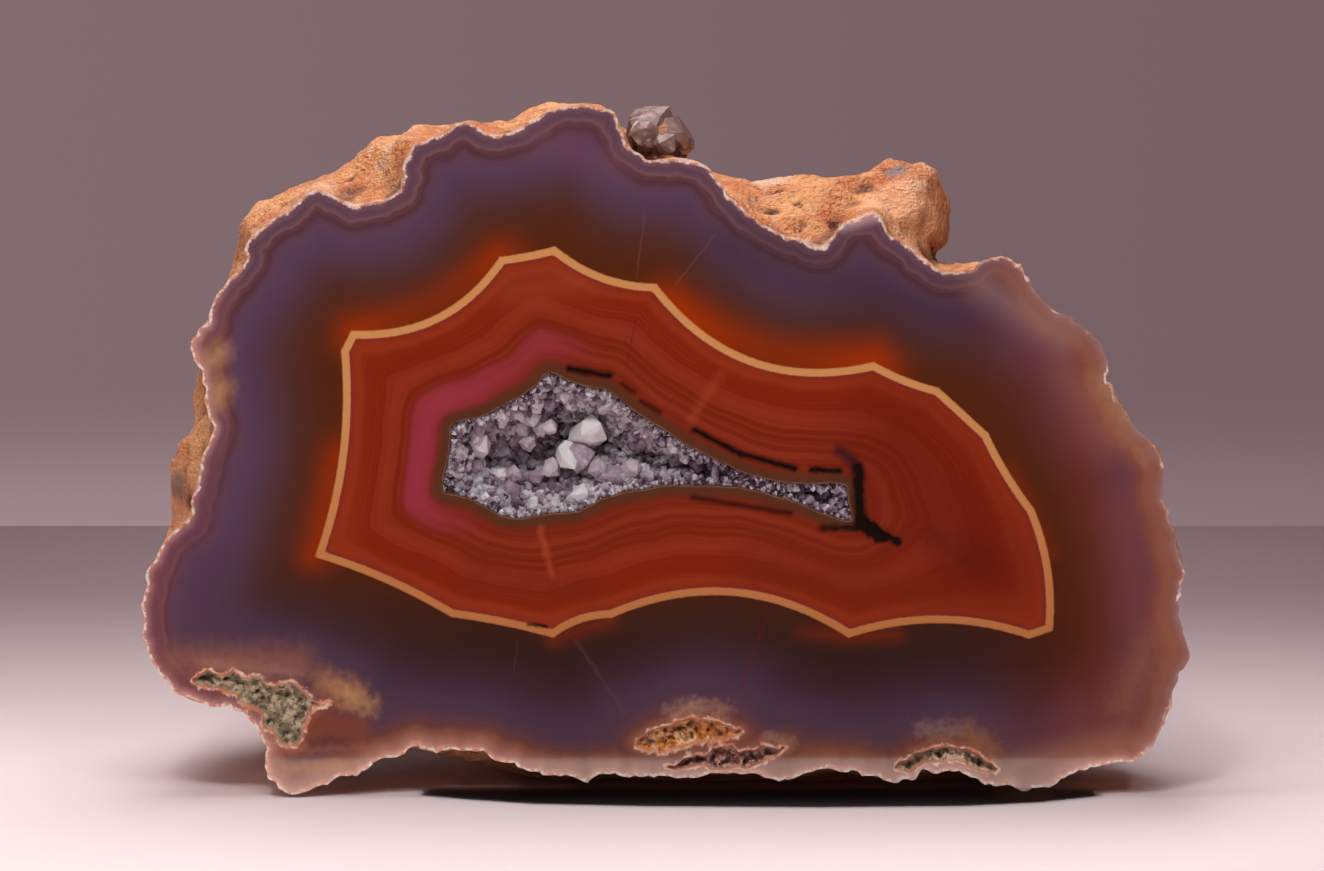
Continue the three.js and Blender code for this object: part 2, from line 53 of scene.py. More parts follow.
Socket = bpy.types.NodeSocket
Node = bpy.types.Node
NodeTree = bpy.types.NodeTree
Material = bpy.types.Material
Piece = bpy.types.Object
Point = tuple[float, float]
Place = tuple[float, float, float]
Colour = tuple[float, float, float, float]
ColourStops = tuple[tuple[float, Colour], ...]


class Slot(Enum):
    """The record's material slots."""

    CHALCEDONY = "chalcedony"
    QUARTZ = "quartz"
    HOST_ROCK = "host_rock"


def srgb(red: int, green: int, blue: int, gain: float = 1.0) -> Colour:
    """Turns a colour seen on a screen into linear light.

    Args:
        red: Red from 0 to 255.
        green: Green from 0 to 255.
        blue: Blue from 0 to 255.
        gain: A factor on the linear colour.

    Returns:
        The linear colour with an alpha of 1.
    """
    linear = []
    for part in (red, green, blue):
        share = part / 255.0
        value = share / 12.92 if share <= 0.04045 else ((share + 0.055) / 1.055) ** 2.4
        linear.append(min(value * gain, 1.0))
    return (linear[0], linear[1], linear[2], 1.0)


# The share of a colour's own light that shows on the face in the soft light
FACE_LIGHT = 0.72


def shown(red: int, green: int, blue: int) -> Colour:
    """The stone's own colour where it shows as this one in the soft light on its face."""
    return srgb(red, green, blue, 1.0 / FACE_LIGHT)


def stops(*rows: tuple[float, int, int, int]) -> ColourStops:
    """Turns rows of a place and a colour as it shows into the stops of a ramp."""
    return tuple((place, shown(*colour)) for place, *colour in rows)


# Outlines on the polished face, in millimetres
# Each point has x to the right of the stone's middle, and z up the face from the foot

HOLLOW_RIM: tuple[Point, ...] = (
    (-9.5, 45.1), (-7.3, 44.1), (-5.2, 43.5), (-3.5, 43.2), (-1.6, 41.8), (0.1, 40.5), (2.2, 39.2),
    (4.4, 37.7), (6.5, 36.6), (8.6, 35.6), (10.8, 34.5), (13.0, 33.9), (15.2, 33.5), (18.3, 33.3),
    (21.4, 33.3), (21.9, 31.3), (22.2, 29.4), (19.4, 30.1), (17.3, 31.0), (15.2, 31.7), (13.0, 32.3),
    (10.8, 32.8), (8.6, 33.0), (5.5, 33.1), (2.9, 33.1), (0.5, 32.7), (-1.3, 32.4), (-3.6, 31.8),
    (-5.8, 30.7), (-6.9, 30.3), (-9.0, 30.2), (-11.3, 29.8), (-12.8, 29.6), (-14.4, 29.8), (-15.9, 30.6),
    (-17.5, 31.5), (-19.1, 32.1), (-20.7, 32.5), (-20.5, 34.5), (-20.1, 36.5), (-19.9, 38.1),
    (-19.6, 39.7), (-16.7, 40.4), (-14.7, 41.4), (-12.1, 42.8), (-10.6, 44.0),
)
POCKET_RIM: tuple[Point, ...] = (
    (-47.4, 12.6), (-46.3, 13.3), (-45.2, 13.5), (-42.8, 13.2), (-40.1, 12.7), (-38.8, 12.1),
    (-37.2, 12.2), (-35.5, 11.6), (-34.1, 10.5), (-32.7, 10.3), (-33.8, 9.6), (-35.1, 8.5), (-35.7, 7.2),
    (-36.0, 5.9), (-36.9, 5.7), (-38.3, 6.1), (-39.2, 7.0), (-39.9, 8.0), (-40.8, 9.2), (-42.0, 10.3),
    (-43.3, 11.0), (-45.0, 11.5), (-46.4, 11.9),
)
GOLDEN_VUG_RIM: tuple[Point, ...] = (
    (-0.7, 5.7), (0.5, 6.8), (2.6, 7.7), (5.3, 8.2), (7.9, 8.0), (10.3, 7.3), (10.6, 6.3), (8.6, 5.9),
    (6.3, 5.7), (3.7, 5.3), (1.1, 5.0),
)
PINK_VUG_RIM: tuple[Point, ...] = (
    (2.9, 3.1), (4.2, 4.0), (6.3, 4.7), (9.5, 5.2), (12.6, 5.4), (15.2, 5.2), (14.5, 4.4), (13.2, 3.7),
    (11.1, 3.1), (7.9, 3.1), (5.3, 3.0),
)
CREAM_VUG_RIM: tuple[Point, ...] = (
    (27.1, 3.0), (27.9, 4.0), (30.0, 5.1), (32.6, 5.7), (34.7, 5.1), (36.3, 4.0), (37.4, 2.8),
    (36.1, 2.7), (34.2, 3.5), (32.1, 3.7), (30.0, 3.4), (28.4, 3.0),
)

# The yellow line's corners, clockwise from the top one
# The third number is how far the arc to the next corner sags inwards
YELLOW_LINE: tuple[Place, ...] = (
    (-8.85, 58.2, 1.0), (1.7, 54.3, 3.9), (24.5, 46.1, 0.25), (31.3, 43.4, 0.0), (36.5, 38.65, 0.25),
    (41.4, 30.65, -0.8), (43.45, 17.8, 0.0), (40.95, 16.95, 1.6), (21.95, 17.05, 3.4),
    (-3.05, 19.15, 0.55), (-9.15, 17.05, 0.2), (-19.9, 19.25, 0.5), (-34.2, 25.6, 1.2),
    (-31.3, 47.3, 0.0), (-30.2, 49.4, 2.45), (-14.65, 57.1, 0.1),
)
YELLOW_WIDTH_MM = 0.8

# Where the camera looks: x, depth behind the face, z
AIM: Place = (2.3, 0.0, 38.4)
# The shadow below the foot, in millimetres of the row frame, and how high its card lies
SHADE_HEIGHT_MM = 1.1
FOOT_SHADE: tuple[Point, ...] = (
    (-26, -20.4), (-21, -22.2), (-14, -24.2), (-2, -25.3), (16, -25.8), (31, -25.2), (39, -23.6),
    (46, -20.6), (46, -17.0), (-26, -17.0),
)
# The middle of the dark gap among the crystals
DARK_HOLE: Point = (-6.0, 37.8)
# The large pale crystals in the hollow: x, z, the depth of the tip behind the face, radius
SHOW_CRYSTALS: tuple[tuple[float, float, float, float], ...] = (
    (-16.2, 38.1, 1.8, 1.35), (-10.6, 39.1, 2.2, 0.85), (-9.4, 39.5, 2.2, 0.75),
    (-4.1, 39.6, 1.5, 1.75), (-7.6, 36.6, 3.2, 0.75), (-5.6, 35.2, 1.4, 1.7),
    (-6.9, 34.6, 1.6, 1.2), (-4.4, 34.6, 1.3, 1.1), (-10.9, 34.2, 2.4, 0.8),
    (-9.7, 33.9, 2.2, 1.0), (-2.6, 34.2, 1.2, 1.5), (-15.0, 33.9, 2.0, 0.75),
    (-13.5, 34.4, 2.2, 0.9), (-7.4, 32.2, 1.2, 1.4), (-0.2, 35.6, 1.0, 1.0),
    (-12.0, 36.8, 2.8, 1.0),
)
# The middle of the broken quartz on the rind: x, depth behind the face, z
CHIPS_MIDDLE: Place = (2.0, 5.2, 69.7)


# Curves and fields on the face


def arc_loop(corners: Sequence[Place], step: float) -> np.ndarray:
    """Runs a closed loop through corners that are joined by shallow arcs.

    Args:
        corners: x, z and the sag of the arc to the next corner, towards the loop's inside.
        step: The longest distance between two points of the loop.

    Returns:
        The points of the loop, clockwise.
    """
    points = []
    for here, there in zip(corners, (*corners[1:], corners[0])):
        start, end = np.array(here[:2]), np.array(there[:2])
        chord = end - start
        length = float(np.hypot(*chord))
        inward = np.array([chord[1], -chord[0]]) / length
        share = np.arange(0, 1, step / length)[:, None]
        points.append(start + chord * share + inward * here[2] * 4 * share * (1 - share))
    return np.vstack(points)


def smooth_loop(corners: Sequence[Point], step: float) -> np.ndarray:
    """Runs a closed smooth curve through points.

    Args:
        corners: The points that the curve passes.
        step: The distance between two points of the result.

    Returns:
        The points of the curve.
    """
    knots = np.array(corners)
    before, after, beyond = np.roll(knots, 1, 0), np.roll(knots, -1, 0), np.roll(knots, -2, 0)
    share = np.linspace(0, 1, 12, endpoint=False)[None, :, None]
    start, slope = knots[:, None], 0.5 * (after - before)[:, None]
    end, end_slope = after[:, None], 0.5 * (beyond - knots)[:, None]
    dense = (
        (2 * share**3 - 3 * share**2 + 1) * start
        + (share**3 - 2 * share**2 + share) * slope
        + (-2 * share**3 + 3 * share**2) * end
        + (share**3 - share**2) * end_slope
    ).reshape(-1, 2)
    return even_loop(dense, step)


def even_loop(loop: np.ndarray, step: float) -> np.ndarray:
    """Spaces the points of a closed loop evenly.

    Args:
        loop: The points of the loop.
        step: The distance wanted between two points.

    Returns:
        New points on the same loop.
    """
    closed = np.vstack([loop, loop[:1]])
    along = np.concatenate([[0], np.cumsum(np.hypot(*np.diff(closed, axis=0).T))])
    count = max(8, round(along[-1] / step))
    wanted = np.linspace(0, along[-1], count, endpoint=False)
    return np.stack([np.interp(wanted, along, closed[:, k]) for k in (0, 1)], axis=1)


def distance_to_loop(points: np.ndarray, loop: np.ndarray) -> np.ndarray:
    """Measures how far points are from a closed loop.

    Args:
        points: The points, one row each.
        loop: The points of the loop.

    Returns:
        The distance of each point to the nearest place on the loop.
    """
    nearest = np.full(len(points), np.inf)
    for start, end in zip(loop, np.roll(loop, -1, 0)):
        edge = end - start
        away = points - start
        share = np.clip(away @ edge / max(edge @ edge, 1e-12), 0, 1)
        gap = away - share[:, None] * edge
        np.minimum(nearest, (gap * gap).sum(1), out=nearest)
    return np.sqrt(nearest)


def inside_loop(points: np.ndarray, loop: np.ndarray) -> np.ndarray:
    """Tells which points a closed loop encloses.

    Args:
        points: The points, one row each.
        loop: The points of the loop.

    Returns:
        True for each point inside.
    """
    crossings = np.zeros(len(points), dtype=int)
    for (xa, za), (xb, zb) in zip(loop, np.roll(loop, -1, 0)):
        if za == zb:
            continue
        spans = (points[:, 1] >= min(za, zb)) & (points[:, 1] < max(za, zb))
        cut = xa + (points[:, 1] - za) * (xb - xa) / (zb - za)
        crossings += spans & (points[:, 0] < cut)
    return crossings % 2 == 1


def hashed(cells: np.ndarray, seed: int) -> np.ndarray:
    """Gives each lattice cell its own repeatable number.

    Args:
        cells: Whole-number cell places, one row each.
        seed: Picks one set of numbers.

    Returns:
        A number from 0 to 1 for each row.
    """
    mixed = np.full(len(cells), seed * 374761393, dtype=np.uint32)
    for k, prime in enumerate((668265263, 2246822519, 3266489917)):
        mixed ^= cells[:, k].astype(np.int64).astype(np.uint32) * np.uint32(prime)
        mixed = (mixed ^ (mixed >> np.uint32(15))) * np.uint32(2654435761)
    mixed ^= mixed >> np.uint32(13)
    return mixed.astype(np.float64) / 2**32


def value_noise(points: np.ndarray, size: float, seed: int) -> np.ndarray:
    """Smooth noise in space.

    Args:
        points: The places, one row of three each.
        size: The size of its lumps.
        seed: Picks one pattern.

    Returns:
        A value from -1 to 1 for each place.
    """
    scaled = points / size
    cell = np.floor(scaled)
    part = scaled - cell
    part = part * part * part * (part * (part * 6 - 15) + 10)
    total = np.zeros(len(points))
    for corner in np.ndindex(2, 2, 2):
        weight = np.prod(np.where(corner, part, 1 - part), axis=1)
        total += weight * hashed(cell + np.array(corner), seed)
    return total * 2 - 1


def lifted(flat: np.ndarray) -> np.ndarray:
    """Gives flat places a third number of 0, so that noise can be read there."""
    return np.column_stack([flat, np.zeros(len(flat))])


def cell_distance(points: np.ndarray, size: float, seed: int) -> tuple[np.ndarray, np.ndarray]:
    """The distance to the nearest of many scattered seeds, as in a cell pattern.

    Args:
        points: The places, one row of three each.
        size: The usual distance between seeds.
        seed: Picks one pattern.

    Returns:
        The distance in units of size, and a number from 0 to 1 that belongs to the nearest seed.
    """
    scaled = points / size
    base = np.floor(scaled)
    nearest, label = np.full(len(points), 9.0), np.zeros(len(points))
    for corner in np.ndindex(3, 3, 3):
        cell = base + np.array(corner) - 1
        spot = cell + np.stack([hashed(cell, seed + k) for k in range(3)], axis=1)
        away = np.linalg.norm(scaled - spot, axis=1)
        closer = away < nearest
        nearest = np.where(closer, away, nearest)
        label = np.where(closer, hashed(cell, seed + 9), label)
    return nearest, label


def ramp(value: np.ndarray, low: float, high: float) -> np.ndarray:
    """Eases from 0 at low to 1 at high."""
    share = np.clip((value - low) / (high - low), 0, 1)
    return share * share * (3 - 2 * share)


# The face's place in the row frame


@dataclass(frozen=True)
class FacePlane:
    """Where the polished face stands. Face places are x, depth behind the face and z, in millimetres."""

    shift_x: float
    shift_y: float

    @classmethod
    def of_cad(cls) -> "FacePlane":
        """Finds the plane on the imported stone."""
        corners = cad_corners("agate_half")
        depth = corners[:, 1] * math.cos(LEAN) - corners[:, 2] * math.sin(LEAN)
        front = corners[depth < depth.min() + 0.02]
        return cls(float(front[:, 0].min()) - RIM_LEFT_MM, float(depth.min()) / math.cos(LEAN))

    def to_row(self, places: np.ndarray) -> np.ndarray:
        """Turns face places into metres in the row frame."""
        x, depth, z = places.T
        y = depth * math.cos(LEAN) + z * math.sin(LEAN) + self.shift_y
        up = z * math.cos(LEAN) - depth * math.sin(LEAN)
        return np.stack([x + self.shift_x, y, up], axis=1) * MM

    def to_face(self, corners: np.ndarray) -> np.ndarray:
        """Turns millimetres in the row frame into face places."""
        x, y, z = corners.T
        level = y - self.shift_y
        depth = level * math.cos(LEAN) - z * math.sin(LEAN)
        return np.stack([x - self.shift_x, depth, z * math.cos(LEAN) + level * math.sin(LEAN)], axis=1)


def cad_corners(node: str) -> np.ndarray:
    """The corners of a CAD node, in millimetres."""
    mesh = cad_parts[node].data
    corners = np.empty(len(mesh.vertices) * 3)
    mesh.vertices.foreach_get("co", corners)
    return corners.reshape(-1, 3) / MM


# Meshes


def build_piece(name: str, corners: np.ndarray, faces: Sequence[Sequence[int]], smooth: bool) -> Piece:
    """Makes a piece of the stone that rides on its one body.

    Args:
        name: The piece's name.
        corners: Its corners in metres.
        faces: Its faces, as rows of corner numbers.
        smooth: Whether its faces are shaded as one smooth skin.

    Returns:
        The new object.
    """
    mesh = bpy.data.meshes.new(name)
    mesh.from_pydata(corners.tolist(), [], [list(face) for face in faces])
    mesh.validate()
    mesh.polygons.foreach_set("use_smooth", [smooth] * len(mesh.polygons))
    mesh.update()
    piece = bpy.data.objects.new(name, mesh)
    bpy.context.scene.collection.objects.link(piece)
    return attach(piece, "root")


def store_field(piece: Piece, name: str, values: np.ndarray) -> None:
    """Keeps one number for each corner of a piece, for its material to read."""
    field_of = piece.data.attributes.new(name, "FLOAT", "POINT")
    field_of.data.foreach_set("value", np.ascontiguousarray(values, dtype=np.float32))


def store_place(piece: Piece, places: np.ndarray) -> None:
    """Keeps each corner's face place, for the material to read."""
    kept = piece.data.attributes.new("place", "FLOAT_VECTOR", "POINT")
    kept.data.foreach_set("vector", np.ascontiguousarray(places, dtype=np.float32).ravel())


def fill_loops(
    outer: np.ndarray, holes: Sequence[np.ndarray], loose: np.ndarray
) -> tuple[np.ndarray, np.ndarray]:
    """Fills an outline with triangles.

    Args:
        outer: The outline.
        holes: Outlines that stay open.
        loose: Points inside that the triangles use.

    Returns:
        The points, with the outline's first and then each hole's in order, and the triangles.
    """
    loops = [outer, *holes]
    points = np.vstack([*loops, loose])
    edges, start = [], 0
    for loop in loops:
        count = len(loop)
        edges += [(start + i, start + (i + 1) % count) for i in range(count)]
        start += count
    made = delaunay_2d_cdt([Vector(point) for point in points], edges, [], 0, 1e-6)
    corners = np.array([tuple(point) for point in made[0]])
    triangles = np.array([face for face in made[2] if len(face) == 3])
    middle = corners[triangles].mean(1)
    keep = inside_loop(middle, outer)
    for hole in holes:
        keep &= ~inside_loop(middle, hole)
    return corners, triangles[keep]


# In steps of a triangular grid: how far its rows lie apart, and how far its points are shaken at most
ROW_SPACING = 0.866
GRID_SHAKE = 0.22


def scatter_inside(outer: np.ndarray, holes: Sequence[np.ndarray], step: float, seed: int) -> np.ndarray:
    """Spreads points over an outline on a shaken triangular grid.

    Args:
        outer: The outline.
        holes: Outlines that get no points.
        step: The distance between points.
        seed: Picks one pattern.

    Returns:
        The points, none closer than half a step to an outline.
    """
    low, high = outer.min(0), outer.max(0)
    lines = []
    for row, height in enumerate(np.arange(low[1], high[1], step * ROW_SPACING)):
        across = np.arange(low[0] + (row % 2) * step / 2, high[0], step)
        lines.append(np.column_stack([across, np.full(len(across), height)]))
    points = np.vstack(lines)
    points += np.random.default_rng(seed).uniform(-GRID_SHAKE, GRID_SHAKE, points.shape) * step
    keep = inside_loop(points, outer) & (distance_to_loop(points, outer) > 0.5 * step)
    for hole in holes:
        keep &= ~inside_loop(points, hole) & (distance_to_loop(points, hole) > 0.5 * step)
    return points[keep]


def ragged(loop: np.ndarray, reach: float, size: float, seed: int) -> np.ndarray:
    """Roughens an outline with smooth noise.

    Args:
        loop: The outline.
        reach: How far its points move at most.
        size: The size of the bumps.
        seed: Picks one pattern.

    Returns:
        The roughened outline.
    """
    flat = lifted(loop)
    shift = np.stack([value_noise(flat, size, seed), value_noise(flat, size, seed + 1)], axis=1)
    return loop + shift * reach


# Node trees

# Where Blender's mix node keeps its colours among its sockets
MIX_FIRST_COLOUR = 6
MIX_RESULT_COLOUR = 2


class Sheet:
    """A node tree with short ways to add nodes to it."""

    def __init__(self, tree: NodeTree) -> None:
        """Takes the tree to work on."""
        self.tree = tree

    def node(self, kind: str, **settings: object) -> Node:
        """Adds a node and sets its options."""
        made = self.tree.nodes.new(kind)
        for name, value in settings.items():
            setattr(made, name, value)
        return made

    def feed(self, socket: Socket, value: object) -> None:
        """Links a socket to another one, or sets its value."""
        if isinstance(value, Socket):
            self.tree.links.new(value, socket)
        elif value is not None:
            socket.default_value = value

    def math(self, operation: str, *values: object) -> Socket:
        """Works a sum on one, two or three numbers."""
        made = self.node("ShaderNodeMath", operation=operation)
        for socket, value in zip(made.inputs, values):
            self.feed(socket, value)
        return made.outputs[0]

    def ease(self, value: object, low: float, high: float) -> Socket:
        """Eases from 0 at low to 1 at high."""
        made = self.node("ShaderNodeMapRange", interpolation_type="SMOOTHSTEP")
        self.feed(made.inputs["Value"], value)
        made.inputs["From Min"].default_value = low
        made.inputs["From Max"].default_value = high
        return made.outputs["Result"]

    def fall(self, value: object, low: float, high: float) -> Socket:
        """Eases from 1 at low to 0 at high."""
        return self.math("SUBTRACT", 1.0, self.ease(value, low, high))

    def plus(self, first: object, second: object) -> Socket:
        """Adds two numbers."""
        return self.math("ADD", first, second)

    def minus(self, first: object, second: object) -> Socket:
        """Takes the second number from the first."""
        return self.math("SUBTRACT", first, second)

    def times(self, first: object, second: object) -> Socket:
        """Multiplies two numbers."""
        return self.math("MULTIPLY", first, second)

    def split(self, vector: object) -> tuple[Socket, ...]:
        """Takes a vector apart into its x, y and z."""
        made = self.node("ShaderNodeSeparateXYZ")
        self.feed(made.inputs[0], vector)
        return tuple(made.outputs)

    def mix(self, share: object, first: object, second: object) -> Socket:
        """Mixes two colours by a share from 0 to 1."""
        made = self.node("ShaderNodeMix", data_type="RGBA")
        self.feed(made.inputs["Factor"], share)
        self.feed(made.inputs[MIX_FIRST_COLOUR], first)
        self.feed(made.inputs[MIX_FIRST_COLOUR + 1], second)
        return made.outputs[MIX_RESULT_COLOUR]

    def tint(self, colour: object, paint: object, mask: object, strength: object) -> Socket:
        """Paints over a colour where a mask is, with a strength from 0 to 1."""
        return self.mix(self.times(mask, strength), colour, paint)

    def ramp(self, value: object, stops: Sequence[tuple[float, Colour]]) -> Socket:
        """Reads a colour off a row of colour stops."""
        made = self.node("ShaderNodeValToRGB")
        row = made.color_ramp
        for place, _ in stops[2:]:
            row.elements.new(place)
        for element, (place, colour) in zip(row.elements, stops):
            element.position = place
            element.color = colour
        self.feed(made.inputs["Fac"], value)
        return made.outputs["Color"]

    def noise(self, vector: object, scale: float, detail: float = 3.0, dims: str = "3D") -> Socket:
        """Reads noise from 0 to 1 at a place, or along a number if dims is 1D."""
        made = self.node("ShaderNodeTexNoise", noise_dimensions=dims)
        self.feed(made.inputs["W" if dims == "1D" else "Vector"], vector)
        made.inputs["Scale"].default_value = scale
        made.inputs["Detail"].default_value = detail
        return made.outputs["Fac"]

    def cells(self, vector: object, scale: float, output: str = "Distance") -> Socket:
        """Reads a cell pattern at a place."""
        made = self.node("ShaderNodeTexVoronoi")
        self.feed(made.inputs["Vector"], vector)
        made.inputs["Scale"].default_value = scale
        return made.outputs[output]

    def read(self, name: str, output: str = "Fac") -> Socket:
        """Reads a field that the mesh keeps."""
        return self.node("ShaderNodeAttribute", attribute_name=name).outputs[output]

    def group(self, tree: NodeTree, **values: object) -> Node:
        """Places a shared group. Its inputs are named in words joined by underscores."""
        made = self.node("ShaderNodeGroup", node_tree=tree)
        for name, value in values.items():
            self.feed(made.inputs[name.replace("_", " ").capitalize()], value)
        return made


def new_group(
    name: str, inputs: Sequence[tuple[str, str, object]], output: tuple[str, str]
) -> tuple[Sheet, dict]:
    """Starts a shared node group.

    Args:
        name: Its name.
        inputs: The name, kind and first value of each input.
        output: The name and kind of its output.

    Returns:
        The group's sheet, and its inputs inside the group by name. The output's socket is under "out".
    """
    tree = bpy.data.node_groups.new(name, "ShaderNodeTree")
    for label, kind, value in inputs:
        socket = tree.interface.new_socket(label, in_out="INPUT", socket_type=kind)
        if value is not None:
            socket.default_value = value
    tree.interface.new_socket(output[0], in_out="OUTPUT", socket_type=output[1])
    sheet = Sheet(tree)
    entry, leave = sheet.node("NodeGroupInput"), sheet.node("NodeGroupOutput")
    sockets = {label: entry.outputs[label] for label, _, _ in inputs}
    sockets["out"] = leave.inputs[0]
    return sheet, sockets


def streak_group() -> NodeTree:
    """Builds the group that marks a soft streak from one place on the face to another.

    Returns:
        The group, whose mask is 1 on the streak and eases to 0 past its width.
    """
    sheet, ends = new_group(
        "soft streak",
        [
            ("Place", "NodeSocketVector", None),
            ("Start", "NodeSocketVector", (0.0, 0.0, 0.0)),
            ("End", "NodeSocketVector", (1.0, 0.0, 0.0)),
            ("Width", "NodeSocketFloat", 1.0),
            ("Softness", "NodeSocketFloat", 0.5),
            ("Wobble", "NodeSocketFloat", 0.0),
        ],
        ("Mask", "NodeSocketFloat"),
    )

    def vector(operation: str, *values: object) -> Node:
        """Works a sum on vectors."""
        made = sheet.node("ShaderNodeVectorMath", operation=operation)
        for socket, value in zip(made.inputs, values):
            sheet.feed(socket, value)
        return made

    shaken = sheet.node("ShaderNodeTexNoise")
    sheet.feed(shaken.inputs["Vector"], ends["Place"])
    shaken.inputs["Scale"].default_value = 1.1
    shaken.inputs["Detail"].default_value = 3.0
    centred = vector("SUBTRACT", shaken.outputs["Color"], (0.5, 0.5, 0.5)).outputs[0]
    wobble = vector("SCALE", centred)
    sheet.feed(wobble.inputs["Scale"], ends["Wobble"])
    place = vector("ADD", ends["Place"], wobble.outputs[0]).outputs[0]
    line = vector("SUBTRACT", ends["End"], ends["Start"]).outputs[0]
    away = vector("SUBTRACT", place, ends["Start"]).outputs[0]
    reach = sheet.math("MAXIMUM", vector("DOT_PRODUCT", line, line).outputs["Value"], 1e-6)
    share = sheet.math("DIVIDE", vector("DOT_PRODUCT", away, line).outputs["Value"], reach)
    held = sheet.node("ShaderNodeClamp")
    sheet.feed(held.inputs["Value"], share)
    along = vector("SCALE", line)
    sheet.feed(along.inputs["Scale"], held.outputs[0])
    gap = vector("LENGTH", vector("SUBTRACT", away, along.outputs[0]).outputs[0]).outputs["Value"]
    over = sheet.math("DIVIDE", sheet.minus(gap, ends["Width"]), ends["Softness"])
    eased = sheet.ease(over, -0.5, 0.5)
    sheet.feed(ends["out"], sheet.math("SUBTRACT", 1.0, eased))
    return sheet.tree


def mottle_group() -> NodeTree:
    """Builds the group that breaks a surface into soft patches.

    Returns:
        The group, whose mask goes from 0 to 1 between Low and High of the noise.
    """
    sheet, ends = new_group(
        "mottle",
        [
            ("Place", "NodeSocketVector", None),
            ("Scale", "NodeSocketFloat", 1.0),
            ("Low", "NodeSocketFloat", 0.4),
            ("High", "NodeSocketFloat", 0.6),
        ],
        ("Mask", "NodeSocketFloat"),
    )
    patches = sheet.node("ShaderNodeTexNoise")
    sheet.feed(patches.inputs["Vector"], ends["Place"])
    sheet.feed(patches.inputs["Scale"], ends["Scale"])
    patches.inputs["Detail"].default_value = 4.0
    spread = sheet.minus(ends["High"], ends["Low"])
    share = sheet.math("DIVIDE", sheet.minus(patches.outputs["Fac"], ends["Low"]), spread)
    sheet.feed(ends["out"], sheet.ease(share, 0.0, 1.0))
    return sheet.tree


@dataclass(frozen=True)
class SharedGroups:
    """The node groups that more than one finish uses."""

    streak: NodeTree
    mottle: NodeTree

    @classmethod
    def build(cls) -> "SharedGroups":
        """Builds each group once."""
        return cls(streak_group(), mottle_group())

    def mottled(self, sheet: "Sheet", place: object, scale: float, low: float, high: float) -> Socket:
        """Adds soft patches to a material and returns their mask."""
        return sheet.group(self.mottle, place=place, scale=scale, low=low, high=high).outputs["Mask"]


def new_material(name: str) -> tuple[Material, Sheet, Node]:
    """Starts a material.

    Args:
        name: Its name.

    Returns:
        The material, its sheet and its Principled shader.
    """
    material = bpy.data.materials.new(name)
    material.use_nodes = True
    sheet = Sheet(material.node_tree)
    shader = material.node_tree.nodes["Principled BSDF"]
    return material, sheet, shader


def add_bump(sheet: Sheet, shader: Node, height: object, strength: float, depth_mm: float) -> None:
    """Raises a material's surface by a height from 0 to 1.

    Args:
        sheet: The material's sheet.
        shader: Its shader.
        height: The height.
        strength: How strongly the slopes show.
        depth_mm: What a height of 1 stands for.
    """
    bump = sheet.node("ShaderNodeBump")
    sheet.feed(bump.inputs["Height"], height)
    bump.inputs["Strength"].default_value = strength
    bump.inputs["Distance"].default_value = depth_mm * MM
    sheet.feed(shader.inputs["Normal"], bump.outputs["Normal"])


# Finishes


@dataclass(frozen=True)
class Streak:
    """A soft streak of colour on the face, from one place to another, in millimetres."""

    start: Point
    end: Point
    width: float
    softness: float
    colour: Colour = (0.0, 0.0, 0.0, 1.0)
    strength: float = 1.0
    wobble: float = 0.0

    def mask(self, sheet: Sheet, group: NodeTree, place: Socket) -> Socket:
        """Adds the streak's mask to a material."""
        made = sheet.group(
            group,
            place=place,
            start=(self.start[0], 0.0, self.start[1]),
            end=(self.end[0], 0.0, self.end[1]),
            width=self.width,
            softness=self.softness,
            wobble=self.wobble,
        )
        return made.outputs["Mask"]

    def over(
        self, sheet: Sheet, group: NodeTree, place: Socket, colour: object
    ) -> Socket:
        """Lays the streak over a colour."""
        share = sheet.times(self.mask(sheet, group, place), self.strength)
        return sheet.mix(share, colour, self.colour)


INK = shown(24, 12, 10)
INK_BLUE = shown(34, 20, 26)
GLOW = shown(158, 48, 5)

INK_STREAKS: tuple[Streak, ...] = (
    Streak((-7.4, 45.4), (-3.2, 44.7), 0.36, 0.7, INK, 1.0, 0.5),
    Streak((-1.9, 43.8), (-0.6, 43.0), 0.22, 0.7, INK, 0.85, 0.5),
    Streak((0.1, 42.0), (2.1, 40.8), 0.24, 0.7, INK, 0.85, 0.5),
    Streak((5.7, 39.0), (10.5, 36.5), 0.32, 0.6, INK, 1.0, 0.4),
    Streak((10.5, 36.5), (16.2, 34.95), 0.34, 0.6, INK, 1.0, 0.4),
    Streak((18.0, 34.8), (20.9, 34.7), 0.32, 0.55, INK, 1.0, 0.4),
    Streak((20.9, 36.7), (22.6, 35.5), 0.55, 1.3, INK_BLUE, 0.85, 0.9),
    Streak((22.9, 35.0), (23.1, 29.3), 0.62, 0.8, INK, 1.0, 0.7),
    Streak((23.4, 29.2), (25.3, 27.9), 0.85, 0.7, INK, 1.0, 1.4),
    Streak((25.6, 28.0), (27.0, 27.3), 0.5, 0.6, INK, 1.0, 1.0),
    Streak((19.1, 28.7), (23.3, 28.6), 0.36, 0.7, INK, 0.9, 0.7),
    Streak((5.5, 31.9), (15.8, 30.2), 0.28, 0.7, INK, 0.8, 0.3),
    Streak((-11.8, 18.55), (-9.9, 18.25), 0.2, 0.3, INK, 0.85, 0.6),
)
